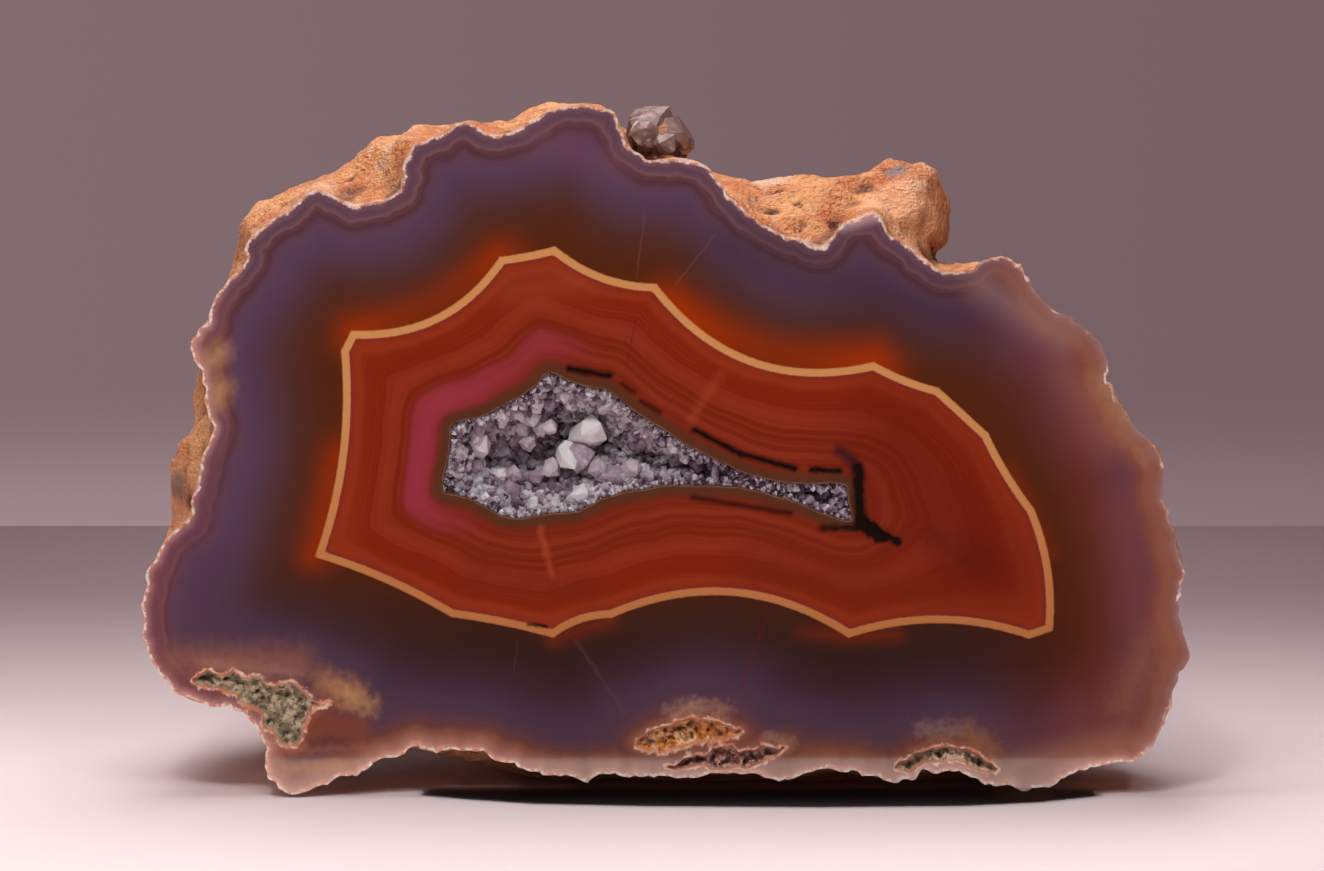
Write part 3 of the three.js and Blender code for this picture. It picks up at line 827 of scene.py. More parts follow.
GLOW_STREAKS: tuple[Streak, ...] = (
    Streak((-30.0, 49.5), (-15.0, 57.5), 2.0, 6.0, GLOW, 0.85),
    Streak((-34.6, 25.8), (-32.4, 36.0), 1.4, 6.0, GLOW, 0.85),
    Streak((4.0, 51.5), (24.3, 46.9), 3.0, 6.0, GLOW, 1.0),
    Streak((-9.2, 16.8), (-3.2, 18.8), 0.6, 3.0, GLOW, 0.4),
    Streak((17.0, 17.3), (27.0, 17.2), 0.5, 3.0, GLOW, 0.45),
    Streak((39.0, 35.0), (43.0, 26.0), 0.5, 3.0, GLOW, 0.35),
)
HAIRLINES: tuple[Streak, ...] = (
    Streak((0.5, 61.6), (-0.4, 54.8), 0.05, 0.2, shown(112, 76, 60), 0.45, 0.3),
    Streak((7.9, 59.5), (3.7, 54.2), 0.06, 0.22, shown(120, 80, 60), 0.45, 0.3),
    Streak((-0.4, 50.6), (-1.4, 46.0), 0.06, 0.25, shown(90, 20, 36), 0.6, 0.3),
    Streak((8.4, 44.8), (5.3, 40.0), 0.35, 1.2, shown(168, 76, 48), 0.3, 0.8),
    Streak((-10.5, 28.6), (-9.3, 23.7), 0.2, 1.0, shown(176, 84, 52), 0.45, 0.8),
    Streak((13.5, 19.5), (10.5, 11.6), 0.06, 0.25, shown(96, 22, 24), 0.75, 0.3),
    Streak((-6.8, 16.8), (-1.6, 9.0), 0.10, 0.6, shown(98, 68, 60), 0.4, 0.5),
    Streak((-12.9, 16.8), (-13.3, 13.5), 0.05, 0.25, shown(96, 66, 60), 0.4, 0.3),
)
REGION_TINTS: tuple[Streak, ...] = (
    Streak((10.0, 58.0), (33.0, 51.0), 2.5, 10.0, shown(56, 38, 50), 0.6),
    Streak((-10.0, 69.0), (-3.0, 67.0), 1.0, 6.0, shown(112, 70, 86), 0.45),
    Streak((-48.5, 16.5), (-46.0, 33.0), 2.0, 12.0, shown(80, 56, 74), 0.75),
    Streak((-44.4, 42.2), (-43.9, 43.4), 0.5, 3.8, shown(190, 140, 92), 0.85, 1.5),
    Streak((-44.9, 46.2), (-43.9, 47.2), 0.5, 3.6, shown(184, 136, 90), 0.85, 1.5),
    Streak((-46.4, 46.6), (-45.4, 38.6), 0.4, 2.8, shown(186, 142, 130), 0.85),
    Streak((-49.0, 14.6), (-36.0, 14.6), 0.9, 5.0, shown(146, 94, 72), 0.7, 2.0),
    Streak((-46.0, 14.4), (-36.0, 13.2), 0.2, 2.4, shown(170, 124, 106), 0.6, 1.5),
    Streak((-33.0, 12.2), (-30.6, 11.2), 0.9, 3.8, shown(176, 122, 78), 0.75, 2.5),
    Streak((-30.8, 10.8), (-28.8, 9.8), 0.5, 3.4, shown(190, 142, 90), 0.8, 2.5),
    Streak((-34.4, 7.8), (-30.0, 7.2), 1.5, 1.6, shown(116, 62, 46), 0.9, 1.6),
    Streak((-34.9, 5.9), (-31.0, 6.0), 0.3, 1.4, shown(86, 42, 36), 0.6, 1.4),
    Streak((-35.4, 8.0), (-33.6, 9.9), 0.2, 1.0, shown(150, 104, 84), 0.7, 1.2),
    Streak((-38.4, 5.0), (-28.0, 5.4), 0.3, 1.6, shown(148, 92, 70), 0.6, 1.6),
    Streak((-37.5, 3.2), (-31.0, 3.3), 0.4, 1.8, shown(168, 108, 58), 0.8, 1.4),
    Streak((3.4, 8.9), (5.4, 9.6), 0.3, 3.0, shown(178, 136, 112), 0.8, 3.0),
    Streak((5.6, 9.7), (9.0, 9.2), 0.3, 2.8, shown(170, 128, 106), 0.75, 3.0),
    Streak((13.6, 6.4), (15.8, 5.8), 0.2, 2.4, shown(182, 150, 136), 0.6, 2.5),
    Streak((14.0, 5.6), (24.0, 4.6), 0.5, 4.5, shown(124, 74, 48), 0.5, 2.0),
    Streak((29.8, 7.4), (33.0, 7.2), 0.3, 3.2, shown(150, 122, 112), 0.65, 3.0),
    Streak((34.4, 7.4), (37.4, 5.2), 0.3, 3.2, shown(164, 112, 70), 0.6, 3.0),
    Streak((40.0, 3.8), (51.0, 6.4), 0.6, 4.0, shown(160, 108, 88), 0.6),
    Streak((51.0, 10.0), (53.8, 17.0), 0.6, 6.0, shown(150, 96, 66), 0.6, 2.5),
    Streak((48.6, 44.0), (50.2, 40.6), 0.3, 4.5, shown(168, 126, 82), 0.7, 3.0),
    Streak((51.0, 38.6), (53.0, 36.0), 0.3, 3.5, shown(158, 112, 84), 0.6, 3.0),
    Streak((44.5, 45.0), (49.0, 38.0), 0.6, 7.0, shown(142, 94, 78), 0.5),
    Streak((51.0, 30.0), (52.4, 20.0), 1.2, 7.0, shown(116, 62, 58), 0.6),
    Streak((36.0, 54.0), (44.0, 48.5), 0.6, 6.0, shown(140, 110, 106), 0.7),
    Streak((21.2, 60.4), (25.2, 61.6), 0.5, 1.6, shown(186, 150, 152), 0.8),
)
INNER_TINTS: tuple[Streak, ...] = (
    Streak((27.0, 38.0), (38.0, 24.0), 4.0, 16.0, shown(98, 25, 15), 0.8),
    Streak((12.0, 24.0), (32.0, 21.5), 1.5, 9.0, shown(103, 32, 17), 0.7),
    Streak((31.0, 27.5), (35.5, 25.0), 0.8, 6.0, shown(66, 22, 16), 0.55, 3.0),
    Streak((-13.5, 53.5), (-6.5, 54.5), 1.0, 5.0, shown(144, 62, 36), 0.6),
    Streak((-30.0, 28.0), (-31.0, 44.0), 0.5, 4.0, shown(136, 44, 24), 0.5),
    Streak((-17.0, 24.0), (-6.0, 22.0), 0.8, 6.0, shown(98, 32, 16), 0.5, 2.0),
)


@dataclass(frozen=True)
class PolishedAgate:
    """The polished banded face."""

    cool: ColourStops = stops(
        (0.0, 82, 36, 15), (0.12, 78, 37, 20), (0.28, 77, 41, 31), (0.37, 76, 44, 40), (0.46, 77, 48, 53),
        (0.58, 79, 54, 69), (0.72, 82, 58, 79), (0.82, 86, 61, 83), (1.0, 92, 62, 79),
    )
    warm: ColourStops = stops(
        (0.0, 78, 32, 15), (0.20, 82, 35, 19), (0.42, 97, 44, 34), (0.60, 108, 53, 48),
        (0.80, 115, 60, 56), (1.0, 120, 68, 56),
    )
    deep: ColourStops = stops(
        (0.0, 44, 27, 23), (0.22, 48, 30, 29), (0.42, 57, 38, 45), (0.60, 70, 50, 66), (0.80, 82, 56, 68),
        (1.0, 98, 62, 66),
    )
    inner: ColourStops = stops(
        (0.0, 128, 44, 24), (0.08, 138, 48, 23), (0.20, 122, 36, 14), (0.30, 117, 33, 14),
        (0.42, 128, 42, 24), (0.52, 125, 41, 22), (0.62, 109, 33, 14), (0.80, 118, 38, 22),
        (1.0, 98, 34, 18),
    )
    top_skin: ColourStops = stops(
        (0.0, 132, 96, 98), (0.08, 104, 74, 86), (0.22, 86, 60, 72), (0.34, 94, 66, 76),
        (0.42, 108, 76, 80), (0.50, 86, 53, 58), (0.62, 78, 47, 52), (0.80, 84, 55, 66),
        (1.0, 87, 59, 74),
    )
    left_skin: ColourStops = stops(
        (0.0, 186, 142, 132), (0.09, 172, 122, 118), (0.18, 146, 96, 96), (0.28, 120, 70, 76),
        (0.42, 112, 63, 66), (0.54, 118, 72, 70), (0.64, 98, 54, 58), (0.80, 102, 59, 66),
        (1.0, 100, 63, 74),
    )
    # The tan of the thin lower edge, partly its own colour and partly painted glow of light shining through
    # it
    foot_skin_and_glow: ColourStops = stops(
        (0.0, 208, 160, 144), (0.09, 190, 138, 120), (0.20, 164, 112, 97), (0.36, 142, 95, 80),
        (0.47, 130, 82, 66), (0.61, 117, 68, 52), (0.78, 100, 57, 51), (1.0, 92, 56, 58),
    )
    # The tan of the thin right edge, partly its own colour and partly painted glow of light shining through
    # it
    right_skin_and_glow: ColourStops = stops(
        (0.0, 146, 112, 108), (0.10, 138, 94, 88), (0.25, 132, 84, 70), (0.40, 134, 84, 66),
        (0.60, 127, 76, 60), (0.80, 119, 66, 52), (1.0, 115, 62, 54),
    )

    def build(self, shared: SharedGroups) -> Material:
        """Builds the material.

        Args:
            shared: The shared groups.

        Returns:
            The material.
        """
        material, sheet, shader = new_material("polished agate")
        place = sheet.read("place", "Vector")
        rim, line, hollow = sheet.read("rim_mm"), sheet.read("line_mm"), sheet.read("hollow_mm")
        open_gap = sheet.read("vug_mm")
        edge = sheet.math("MINIMUM", rim, sheet.plus(open_gap, 1.3))
        outer = self.outer_zone(sheet, shared, place, edge, line)
        inner = self.inner_zone(sheet, shared, place, line, hollow)
        shaken = sheet.plus(line, sheet.times(self.centred(sheet, place, 2.4), 0.12))
        past_line = sheet.ease(shaken, -YELLOW_WIDTH_MM - 0.07, -YELLOW_WIDTH_MM + 0.07)
        _, _, height = sheet.split(place)
        upper = sheet.ease(height, 16.0, 44.0)
        yellow_tone = sheet.mix(upper, shown(170, 107, 62), shown(190, 132, 80))
        colour = sheet.mix(past_line, inner, yellow_tone)
        colour = sheet.mix(sheet.ease(shaken, -0.1, 0.1), colour, outer)
        colour = self.hollow_edge(sheet, place, hollow, colour)
        for streak in (*INK_STREAKS, *HAIRLINES):
            colour = streak.over(sheet, shared.streak, place, colour)
        colour = self.edges(sheet, place, rim, open_gap, colour)
        sheet.feed(shader.inputs["Base Color"], colour)
        shader.inputs["Roughness"].default_value = 0.07
        shader.inputs["IOR"].default_value = 1.54
        return material

    @staticmethod
    def centred(sheet: Sheet, place: object, scale: float) -> Socket:
        """Noise from -0.5 to 0.5."""
        return sheet.minus(sheet.noise(place, scale, 2.0), 0.5)

    def outer_zone(
        self, sheet: Sheet, shared: SharedGroups, place: object, edge: object, line: object
    ) -> Socket:
        """The blue and brown zone between the rind and the yellow line."""
        outside = sheet.math("MAXIMUM", line, 0.0)
        share = sheet.math("DIVIDE", outside, sheet.plus(sheet.plus(outside, edge), 0.01))
        share = sheet.plus(share, sheet.times(self.centred(sheet, place, 0.09), 0.20))
        x, _, z = sheet.split(place)
        right = Streak((46.0, 50.0), (48.0, 8.0), 5.0, 22.0).mask(sheet, shared.streak, place)
        low = sheet.fall(z, 11.0, 32.0)
        colour = sheet.mix(low, sheet.ramp(share, self.cool), sheet.ramp(share, self.deep))
        colour = sheet.mix(right, colour, sheet.ramp(share, self.warm))
        shaken = sheet.plus(edge, sheet.times(self.centred(sheet, place, 0.45), 1.0))
        depth = sheet.math("DIVIDE", shaken, 3.6)
        left = sheet.fall(x, -48.0, -40.0)
        foot = sheet.fall(z, 5.5, 13.0)
        far_right = sheet.ease(sheet.plus(x, sheet.times(z, 0.35)), 50.0, 62.0)
        # Near the rim the face takes skin colours; on the foot and the right they are partly painted glow
        # of light shining through the thin edge
        skin = sheet.mix(left, sheet.ramp(depth, self.top_skin), sheet.ramp(depth, self.left_skin))
        skin = sheet.mix(foot, skin, sheet.ramp(depth, self.foot_skin_and_glow))
        skin = sheet.mix(far_right, skin, sheet.ramp(depth, self.right_skin_and_glow))
        under_skin = sheet.fall(shaken, 1.9, 4.2)
        colour = sheet.mix(under_skin, colour, skin)
        for tint in REGION_TINTS:
            colour = tint.over(sheet, shared.streak, place, colour)
        near_line = sheet.math("POWER", sheet.fall(line, -1.5, 5.8), 1.3)
        for glow in GLOW_STREAKS:
            spot = sheet.times(glow.mask(sheet, shared.streak, place), near_line)
            colour = sheet.tint(colour, glow.colour, spot, glow.strength)
        fine = sheet.noise(sheet.plus(edge, self.centred(sheet, place, 0.5)), 2.3, 2.0, "1D")
        fine_share = sheet.times(sheet.ease(fine, 0.45, 0.66), 0.12)
        near_rim = sheet.fall(edge, 1.6, 4.2)
        return sheet.tint(colour, shown(140, 96, 96), fine_share, near_rim)

    def inner_zone(
        self, sheet: Sheet, shared: SharedGroups, place: object, line: object, hollow: object
    ) -> Socket:
        """The red zone between the yellow line and the hollow."""
        inside = sheet.math("MAXIMUM", sheet.times(line, -1.0), 0.0)
        share = sheet.math("DIVIDE", inside, sheet.plus(sheet.plus(inside, hollow), 0.01))
        shaken = sheet.plus(share, sheet.times(self.centred(sheet, place, 0.16), 0.10))
        colour = sheet.ramp(shaken, self.inner)
        bands = sheet.noise(sheet.times(shaken, 5.0), 2.0, 3.0, "1D")
        colour = sheet.tint(colour, shown(142, 58, 34), sheet.ease(bands, 0.50, 0.64), 0.30)
        colour = sheet.tint(colour, shown(104, 24, 9), sheet.ease(bands, 0.46, 0.34), 0.35)
        threads = sheet.noise(sheet.times(shaken, 26.0), 1.0, 1.0, "1D")
        patchy = sheet.ease(sheet.noise(place, 0.07), 0.45, 0.6)
        thread_share = sheet.times(sheet.times(sheet.ease(threads, 0.56, 0.68), patchy), 0.22)
        colour = sheet.mix(thread_share, colour, shown(144, 60, 38))
        left = Streak((-26.0, 30.0), (-18.0, 47.0), 5.0, 12.0).mask(sheet, shared.streak, place)
        rise = Streak((-18.0, 46.0), (-8.0, 50.5), 2.0, 9.0).mask(sheet, shared.streak, place)
        pink_zone = sheet.math("MAXIMUM", left, rise)
        pink_band = sheet.times(sheet.ease(shaken, 0.58, 0.72), sheet.fall(shaken, 0.80, 0.95))
        pink = sheet.times(sheet.times(pink_zone, pink_band), 0.95)
        colour = sheet.mix(pink, colour, shown(141, 48, 62))
        for tint in INNER_TINTS:
            colour = tint.over(sheet, shared.streak, place, colour)
        below = sheet.ease(line, -YELLOW_WIDTH_MM - 0.6, -YELLOW_WIDTH_MM - 0.2)
        return sheet.tint(colour, shown(108, 36, 34), below, 0.5)

    def hollow_edge(self, sheet: Sheet, place: object, hollow: object, colour: object) -> Socket:
        """The smoky brown edge round the hollow, with a pale line where the polish ends."""
        shaken = sheet.plus(hollow, sheet.times(self.centred(sheet, place, 0.8), 0.3))
        near = sheet.fall(shaken, 0.45, 1.5)
        brown = sheet.mix(sheet.noise(place, 0.5), shown(90, 52, 32), shown(70, 42, 28))
        colour = sheet.tint(colour, brown, near, 0.95)
        brink = sheet.fall(shaken, 0.0, 0.14)
        return sheet.tint(colour, shown(168, 128, 112), brink, 0.3)

    def edges(
        self, sheet: Sheet, place: object, rim: object, open_gap: object, colour: object
    ) -> Socket:
        """The thin pale line of the rind, and the cream edges of the vugs and of the host rock."""
        shaken = sheet.plus(rim, sheet.times(self.centred(sheet, place, 1.6), 0.6))
        shaken = sheet.plus(shaken, sheet.times(self.centred(sheet, place, 4.5), 0.4))
        pale_line = sheet.fall(shaken, 0.14, 0.34)
        patchy = sheet.ease(sheet.noise(place, 1.3), 0.4, 0.6)
        pale = sheet.mix(patchy, shown(240, 204, 192), shown(196, 130, 98))
        x, _, z = sheet.split(place)
        across = sheet.plus(x, sheet.times(z, 0.35))
        bare = sheet.times(sheet.ease(across, 50.0, 60.0), sheet.ease(sheet.noise(place, 0.22), 0.60, 0.50))
        shown_share = sheet.times(sheet.math("SUBTRACT", 1.0, bare), 0.9)
        colour = sheet.tint(colour, pale, pale_line, shown_share)
        gap = sheet.plus(open_gap, sheet.times(self.centred(sheet, place, 1.3), 1.2))
        gap = sheet.plus(gap, sheet.times(self.centred(sheet, place, 4.0), 0.25))
        cream = sheet.fall(gap, 0.06, 0.34)
        patchy = sheet.ease(sheet.noise(place, 1.1), 0.38, 0.62)
        crust = sheet.mix(patchy, shown(196, 116, 86), shown(228, 184, 160))
        return sheet.tint(colour, crust, cream, 0.85)


@dataclass(frozen=True)
class OchreRind:
    """The weathered orange rind, with pits, pale crust and bare chalcedony, and with painted light and
    shade.
    """

    light: Colour = srgb(226, 154, 98)
    base: Colour = srgb(200, 110, 54)
    dark: Colour = srgb(104, 50, 24)
    crust: Colour = srgb(220, 184, 164)
    bare: Colour = srgb(122, 106, 114)

    def build(self, shared: SharedGroups) -> Material:
        """Builds the material.

        Args:
            shared: The shared groups.

        Returns:
            The material.
        """
        material, sheet, shader = new_material("ochre rind")
        place, hump = sheet.read("place", "Vector"), sheet.read("hump")
        patches = shared.mottled(sheet, place, 0.22, 0.36, 0.64)
        colour = sheet.mix(patches, self.base, self.light)
        # Painted shade: darker in the rind's hollows; the next line makes it lighter on its raised bumps
        colour = sheet.mix(sheet.ease(hump, -0.02, -0.30), colour, self.dark)
        colour = sheet.tint(colour, srgb(216, 150, 108), sheet.ease(hump, 0.06, 0.34), 0.6)
        specks = shared.mottled(sheet, place, 2.2, 0.58, 0.68)
        colour = sheet.tint(colour, self.dark, specks, 0.6)
        grains = shared.mottled(sheet, place, 1.3, 0.58, 0.66)
        colour = sheet.tint(colour, self.crust, grains, 0.45)
        pale = shared.mottled(sheet, place, 0.11, 0.60, 0.72)
        colour = sheet.tint(colour, self.crust, pale, 0.6)
        _, depth, _ = sheet.split(place)
        near_face = sheet.plus(depth, sheet.times(sheet.noise(place, 0.7), 1.2))
        lip = sheet.fall(near_face, 0.7, 1.7)
        colour = sheet.tint(colour, self.crust, lip, 0.8)
        for centre, radius, patch, strength in self.patches():
            spot = self.ball(sheet, place, centre, radius)
            colour = sheet.tint(colour, patch, spot, strength)
        sheet.feed(shader.inputs["Base Color"], colour)
        rough = sheet.node("ShaderNodeMapRange")
        sheet.feed(rough.inputs["Value"], patches)
        rough.inputs["To Min"].default_value = 0.5
        rough.inputs["To Max"].default_value = 0.72
        sheet.feed(shader.inputs["Roughness"], rough.outputs["Result"])
        grain = sheet.plus(sheet.noise(place, 3.2, 5.0), sheet.times(sheet.cells(place, 1.4), 0.5))
        add_bump(sheet, shader, grain, 0.9, 0.6)
        return material

    def patches(self) -> tuple[tuple[Place, float, Colour, float], ...]:
        """The patches on the rind: middle, radius, colour and strength. The first two are painted light on
        the knob and the left bulge, the dark one is painted shade under the knob, the rest are patches of
        another colour.
        """
        return (
            # Painted light on the front of the knob
            ((27.5, 5.5, 61.0), 4.5, srgb(250, 180, 134), 0.6),
            # Painted light on the left bulge
            ((-50.5, 7.0, 27.5), 4.5, srgb(242, 160, 110), 0.6),
            ((27.2, 9.0, 66.6), 1.2, self.bare, 0.85),
            ((29.2, 8.0, 63.6), 1.6, self.crust, 0.7),
            ((24.5, 5.0, 64.0), 1.3, self.crust, 0.6),
            # Painted shade under the knob's overhang
            ((30.4, 4.0, 57.6), 1.0, srgb(46, 22, 18), 0.85),
            ((13.5, 6.0, 64.8), 1.5, self.crust, 0.5),
            ((2.4, 5.2, 69.9), 3.2, srgb(140, 112, 108), 0.9),
            ((-50.5, 5.5, 32.5), 2.0, srgb(124, 104, 94), 0.75),
            ((-30.5, 4.0, 64.0), 1.6, srgb(120, 62, 36), 0.6),
            ((-26.2, 3.0, 64.4), 1.0, srgb(96, 50, 32), 0.7),
        )

    @staticmethod
    def ball(sheet: Sheet, place: object, centre: Place, radius: float) -> Socket:
        """A mask that is 1 in a ball and fades past its radius."""
        gap = sheet.node("ShaderNodeVectorMath", operation="DISTANCE")
        sheet.feed(gap.inputs[0], place)
        gap.inputs[1].default_value = centre
        shaken = sheet.plus(gap.outputs["Value"], sheet.times(sheet.noise(place, 0.5), 1.6))
        return sheet.fall(shaken, radius, radius + 1.6)


@dataclass(frozen=True)
class QuartzCrystal:
    """Clear or milky quartz, from dark crystals to pale ones."""

    name: str
    dark: Colour
    tint: Colour
    cloudy: Colour
    clear: float
    roughness: float

    def build(self, shared: SharedGroups) -> Material:
        """Builds the material.

        Args:
            shared: The shared groups.

        Returns:
            The material.
        """
        material, sheet, shader = new_material(self.name)
        place = sheet.read("place", "Vector")
        veined = sheet.times(PolishedAgate.centred(sheet, place, 1.4), 0.9)
        tone = sheet.plus(sheet.read("tone"), veined)
        pale_mass = Streak((-7.4, 33.2), (-4.2, 34.6), 1.6, 4.5).mask(sheet, shared.streak, place)
        x, _, _ = sheet.split(place)
        tail = sheet.ease(x, -1.0, 10.0)
        tone = sheet.plus(tone, sheet.times(pale_mass, 0.35))
        tone = sheet.minus(tone, sheet.times(tail, 0.22))
        colour = sheet.ramp(tone, ((0.0, self.dark), (0.5, self.tint), (1.0, self.cloudy)))
        sheet.feed(shader.inputs["Base Color"], colour)
        shader.inputs["Roughness"].default_value = self.roughness
        shader.inputs["IOR"].default_value = 1.55
        shader.inputs["Transmission Weight"].default_value = self.clear
        return material


@dataclass(frozen=True)
class SmokyBed:
    """The dark quartz that the crystals stand on."""

    def build(self) -> Material:
        """Builds the material.

        Returns:
            The material.
        """
        material, sheet, shader = new_material("smoky bed")
        place, gap = sheet.read("place", "Vector"), sheet.read("edge_mm")
        facets = sheet.cells(place, 1.5, "Color")
        colour = sheet.mix(facets, srgb(40, 26, 34), srgb(126, 96, 112))
        wall = sheet.fall(gap, 0.15, 0.7)
        colour = sheet.mix(wall, colour, srgb(92, 62, 50))
        sheet.feed(shader.inputs["Base Color"], colour)
        shader.inputs["Roughness"].default_value = 0.22
        return material


@dataclass(frozen=True)
class RoughRock:
    """Rough rock or crust of three mingled colours, with painted shade in its hollows and at one hole."""

    name: str
    ground: Colour
    second: Colour
    third: Colour
    lip: Colour = srgb(206, 136, 112)
    scale: float = 0.8
    # Where a hole's painted shade lies, as x and z on the face
    hole: Point = (-38.7, 7.6)

    def build(self, shared: SharedGroups) -> Material:
        """Builds the material.

        Args:
            shared: The shared groups.

        Returns:
            The material.
        """
        material, sheet, shader = new_material(self.name)
        place, gap, hump = sheet.read("place", "Vector"), sheet.read("edge_mm"), sheet.read("hump")
        first = shared.mottled(sheet, place, self.scale, 0.44, 0.56)
        colour = sheet.mix(first, self.ground, self.second)
        other = shared.mottled(sheet, place, self.scale * 2.3, 0.52, 0.62)
        colour = sheet.tint(colour, self.third, other, 0.8)
        # Painted shade: darker in the floor's hollows
        colour = sheet.tint(colour, srgb(40, 24, 18), sheet.ease(hump, 0.0, -0.35), 0.8)
        # Painted shade of a hole, a dark streak beside its middle
        hole_end = (self.hole[0] + 1.6, self.hole[1] - 0.7)
        shade = Streak(self.hole, hole_end, 0.5, 2.2, srgb(48, 30, 28), 0.75, 2.0)
        colour = shade.over(sheet, shared.streak, place, colour)
        lip = sheet.fall(gap, 0.05, 0.4)
        colour = sheet.tint(colour, self.lip, lip, 0.75)
        sheet.feed(shader.inputs["Base Color"], colour)
        shader.inputs["Roughness"].default_value = 0.75
        add_bump(sheet, shader, sheet.noise(place, 4.0, 5.0), 0.6, 0.3)
        return material


# The pieces of the stone


@dataclass
class Rind:
    """The stone's outer skin, rebuilt fine from the CAD solid and cut off at the face plane."""

    plane: FacePlane
    voxel: float = 0.52
    lead: float = 3.0
    smoothing: int = 6
    lump: float = 6.5
    lump_height: float = 1.1
    pit_spacing: float = 2.6
    pit_share: float = 0.34
    pit_depth: float = 0.42
    chips_bed: float = 1.3
    rim_loop: np.ndarray = field(default_factory=lambda: np.zeros((0, 2)))

    def closed_shell(self) -> Piece:
        """Takes the CAD stone without its face and hollows, with its rim carried forward past the face.

        Returns:
            A helper object in face places, closed at the front.
        """
        work = bmesh.new()
        work.from_mesh(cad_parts["agate_half"].data)
        corners = self.plane.to_face(np.array([v.co for v in work.verts]) / MM)
        for vert, place in zip(work.verts, corners):
            vert.co = place
        bmesh.ops.remove_doubles(work, verts=work.verts, dist=0.001)
        front = [f for f in work.faces if max(v.co.y for v in f.verts) < 0.02]
        bmesh.ops.delete(work, geom=front, context="FACES")
        keep = largest_island(work)
        bmesh.ops.delete(work, geom=[v for v in work.verts if v not in keep], context="VERTS")
        rim = [e for e in work.edges if len(e.link_faces) == 1]
        made = bmesh.ops.extrude_edge_only(work, edges=rim)["geom"]
        for vert in (item for item in made if isinstance(item, bmesh.types.BMVert)):
            vert.co.y -= self.lead
        open_edges = [e for e in work.edges if len(e.link_faces) == 1]
        bmesh.ops.holes_fill(work, edges=open_edges, sides=0)
        bmesh.ops.triangulate(work, faces=work.faces)
        bmesh.ops.recalc_face_normals(work, faces=work.faces)
        mesh = bpy.data.meshes.new("shell")
        work.to_mesh(mesh)
        work.free()
        helper = bpy.data.objects.new("shell", mesh)
        bpy.context.scene.collection.objects.link(helper)
        return helper

    def remeshed(self, helper: Piece) -> tuple[np.ndarray, np.ndarray]:
        """Rebuilds the shell in even small quads.

        Args:
            helper: The closed shell, which is removed.

        Returns:
            The corners in face places, and the quads.
        """
        modifier = helper.modifiers.new("even", "REMESH")
        modifier.mode = "VOXEL"
        modifier.voxel_size = self.voxel
        shaped = helper.evaluated_get(bpy.context.evaluated_depsgraph_get())
        mesh = shaped.to_mesh()
        corners = np.empty(len(mesh.vertices) * 3)
        mesh.vertices.foreach_get("co", corners)
        quads = np.array([tuple(p.vertices) for p in mesh.polygons if len(p.vertices) == 4])
        shaped.to_mesh_clear()
        bpy.data.objects.remove(helper)
        return corners.reshape(-1, 3), quads

    def weathered(self, corners: np.ndarray, quads: np.ndarray) -> tuple[np.ndarray, np.ndarray]:
        """Rounds off the facets and raises the lumps and pits of the rind.

        Args:
            corners: The even corners.
            quads: Their faces.

        Returns:
            The moved corners, and how far each stands above its neighbourhood.
        """
        away = 0.35 + 0.65 * ramp(corners[:, 1], 0.6, 4.5)[:, None]
        corners = corners + (relaxed(corners, quads, self.smoothing) - corners) * away
        outward = corner_normals(corners, quads)
        wide, _ = cell_distance(corners, self.lump, 3)
        small, pick = cell_distance(corners, self.pit_spacing, 21)
        relief = self.lump_height * (0.55 - wide) + 0.36 * value_noise(corners, 2.6, 5)
        relief = relief + 0.24 * value_noise(corners, 1.15, 8)
        pits = ramp(0.34 - small, 0.0, 0.22) * (pick < self.pit_share)
        relief -= self.pit_depth * pits
        calm = 0.35 + 0.65 * ramp(corners[:, 1], 0.4, 5.0)
        belly = ramp(self.plane.to_row(corners)[:, 2] / MM, 0.4, 4.0)
        relief *= calm * belly
        from_chips = np.linalg.norm(corners - np.array(CHIPS_MIDDLE), axis=1)
        relief -= self.chips_bed * (1 - ramp(from_chips, 3.8, 5.4)) * calm
        moved = corners + outward * relief[:, None]
        hump = np.einsum("ij,ij->i", moved - relaxed(moved, quads, 14), outward)
        return moved, hump

    def build(self) -> Piece:
        """Makes the rind and keeps its rim for the face.

        Returns:
            The rind piece.
        """
        corners, quads = self.remeshed(self.closed_shell())
        corners, hump = self.weathered(corners, quads)
        work = bmesh.new()
        kept = work.verts.layers.float.new("hump")
        verts = []
        for place, height in zip(corners, hump):
            vert = work.verts.new(place)
            vert[kept] = height
            verts.append(vert)
        for quad in quads:
            work.faces.new([verts[i] for i in quad])
        bmesh.ops.bisect_plane(
            work,
            geom=[*work.verts, *work.edges, *work.faces],
            dist=1e-4,
            plane_co=(0, 0, 0),
            plane_no=(0, 1, 0),
            clear_inner=True,
        )
        keep = largest_island(work)
        bmesh.ops.delete(work, geom=[v for v in work.verts if v not in keep], context="VERTS")
        rim = longest_rim(work)
        self.rim_loop = rim + frayed(rim)
        work.verts.index_update()
        places = np.array([v.co for v in work.verts])
        heights = np.array([v[kept] for v in work.verts])
        faces = [[v.index for v in f.verts] for f in work.faces]
        work.free()
        places[:, 1] = np.maximum(places[:, 1], 0)
        at_face = 1 - ramp(places[:, 1], 0.0, 1.1)
        places[:, [0, 2]] += frayed(places[:, [0, 2]]) * at_face[:, None]
        row = self.plane.to_row(places)
        row[:, 2] = np.maximum(row[:, 2], 0)
        piece = build_piece("rind", row, faces, smooth=True)
        store_place(piece, places)
        store_field(piece, "hump", heights)
        return piece


